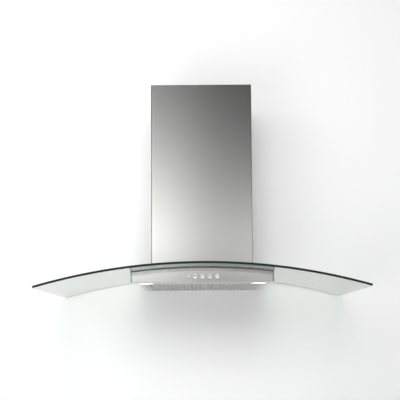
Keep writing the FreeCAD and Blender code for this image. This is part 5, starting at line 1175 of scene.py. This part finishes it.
def profile(tree, factor, stops):
    """A grey that runs smoothly through (place, value) stops, whose places run from -1 to 1."""
    share = maths(tree, "MULTIPLY_ADD", factor, 0.5, 0.5)
    item = add_node(tree, "ShaderNodeValToRGB", {"Fac": share})
    item.color_ramp.interpolation = "B_SPLINE"
    points = item.color_ramp.elements
    points.remove(points[1])
    peak = max(value for _, value in stops)
    for number, (place, value) in enumerate(stops):
        point = points[0] if number == 0 else points.new((place + 1) / 2)
        point.position = (place + 1) / 2
        point.color = (value / peak, value / peak, value / peak, 1)
    return maths(tree, "MULTIPLY", item.outputs["Color"], peak)


def set_world():
    """The room: plain for diffuse light, white where it is looked at, and in reflections two soft
    windows low in front that fall off upwards and to the sides."""
    world = bpy.data.worlds.new("room")
    bpy.context.scene.world = world
    world.use_nodes = True
    tree = world.node_tree
    tree.nodes.clear()
    direction = add_node(tree, "ShaderNodeTexCoord").outputs["Generated"]
    axes = add_node(tree, "ShaderNodeSeparateXYZ", {0: direction}).outputs
    windows = []
    for sides, rise in (LEFT_WINDOW, RIGHT_WINDOW):
        across, upright = profile(tree, axes["X"], sides), profile(tree, axes["Z"], rise)
        windows.append(maths(tree, "MULTIPLY", across, upright))
    path = add_node(tree, "ShaderNodeLightPath").outputs
    seen = maths(tree, "MAXIMUM", path["Is Camera Ray"], path["Is Transmission Ray"])
    plain = maths(tree, "MULTIPLY_ADD", seen, 1 - DIFFUSE_LEVEL, DIFFUSE_LEVEL)
    room = add_node(tree, "ShaderNodeBackground", {"Strength": plain}).outputs[0]
    summed = maths(tree, "ADD", *windows)
    mirrored = add_node(tree, "ShaderNodeBackground", {"Strength": summed}).outputs[0]
    shaders = {0: path["Is Glossy Ray"], 1: room, 2: mirrored}
    chosen = add_node(tree, "ShaderNodeMixShader", shaders).outputs[0]
    add_node(tree, "ShaderNodeOutputWorld", {"Surface": chosen})


LAMPS = {                          # place, width of the disc, share of the light on the wall
    "front": ((0.0, -2.6, 0.9), 1.4, 0.45),
    "left": ((-1.6, -1.9, 0.6), 1.4, 0.13),
    "low": ((-0.8, -1.9, -0.75), 1.2, 0.22),
}


def set_lamps():
    """Large soft discs in front, which light but aren't mirrored. A disc's power is its share times
    pi squared times its distance squared, over the slope at which its light meets the wall."""
    for name, (place, width, share) in LAMPS.items():
        distance = Vector(place).length
        data = bpy.data.lights.new(name, "AREA")
        data.shape = "DISK"
        data.size = width
        data.energy = share * (math.pi * distance) ** 2 * distance / -place[1]
        lamp = add_object(name, data)
        lamp.visible_glossy = False
        towards = (-Vector(place)).to_track_quat("-Z", "Y").to_matrix().to_4x4()
        lamp.matrix_world = Matrix.Translation(place) @ towards


def set_stage():
    """A white wall that curves into a pale floor, far below the hood."""
    wall_y, bend, side, front, top = 0.0015, 0.35, 6.0, -6.0, 5.0
    turn = np.linspace(0, QUARTER, 13)
    curve = np.column_stack([wall_y - bend + bend * np.cos(turn), FLOOR + bend - bend * np.sin(turn)])
    line = np.concatenate([[(wall_y, top)], curve, [(front, FLOOR)]])
    rings = [np.column_stack([np.full(len(line), x), line]) for x in (-side, side)]
    points, faces = loft(rings, caps=False, closed=False)
    mesh = bpy.data.meshes.new("wall_and_floor")
    mesh.from_pydata(points.tolist(), [], faces)
    mesh.shade_smooth()
    mesh.materials.append(wall_paint())
    add_object("wall_and_floor", mesh)


def wall_paint():
    """White paint that is seen from its room side only, and lets light for the piece's back through."""
    material = bpy.data.materials.new("wall_paint")
    material.use_nodes = True
    tree = material.node_tree
    tree.nodes.clear()
    path = add_node(tree, "ShaderNodeLightPath").outputs
    gone = add_node(tree, "ShaderNodeNewGeometry").outputs["Backfacing"]
    for ray in ("Is Shadow Ray", "Is Diffuse Ray"):
        gone = maths(tree, "MAXIMUM", gone, path[ray])
    place = add_node(tree, "ShaderNodeTexCoord").outputs["Object"]
    height = add_node(tree, "ShaderNodeSeparateXYZ", {0: place}).outputs["Z"]

    def upwards(low, high):
        start, end = FLOOR, FLOOR + 0.4
        inputs = {"Value": height, "From Min": start, "From Max": end, "To Min": low, "To Max": high}
        return add_node(tree, "ShaderNodeMapRange", inputs).outputs["Result"]

    paint = add_node(tree, "ShaderNodeBsdfDiffuse", {"Color": upwards(0.85, 0.93)}).outputs[0]
    glow = add_node(tree, "ShaderNodeEmission", {"Strength": upwards(0.0, 0.1)}).outputs[0]
    lit = add_node(tree, "ShaderNodeAddShader", {0: paint, 1: glow}).outputs[0]
    clear = add_node(tree, "ShaderNodeBsdfTransparent").outputs[0]
    chosen = add_node(tree, "ShaderNodeMixShader", {0: gone, 1: lit, 2: clear}).outputs[0]
    add_node(tree, "ShaderNodeOutputMaterial", {"Surface": chosen})
    return material


set_camera()
set_world()
set_lamps()
set_stage()
bpy.context.scene.view_settings.view_transform = "Standard"
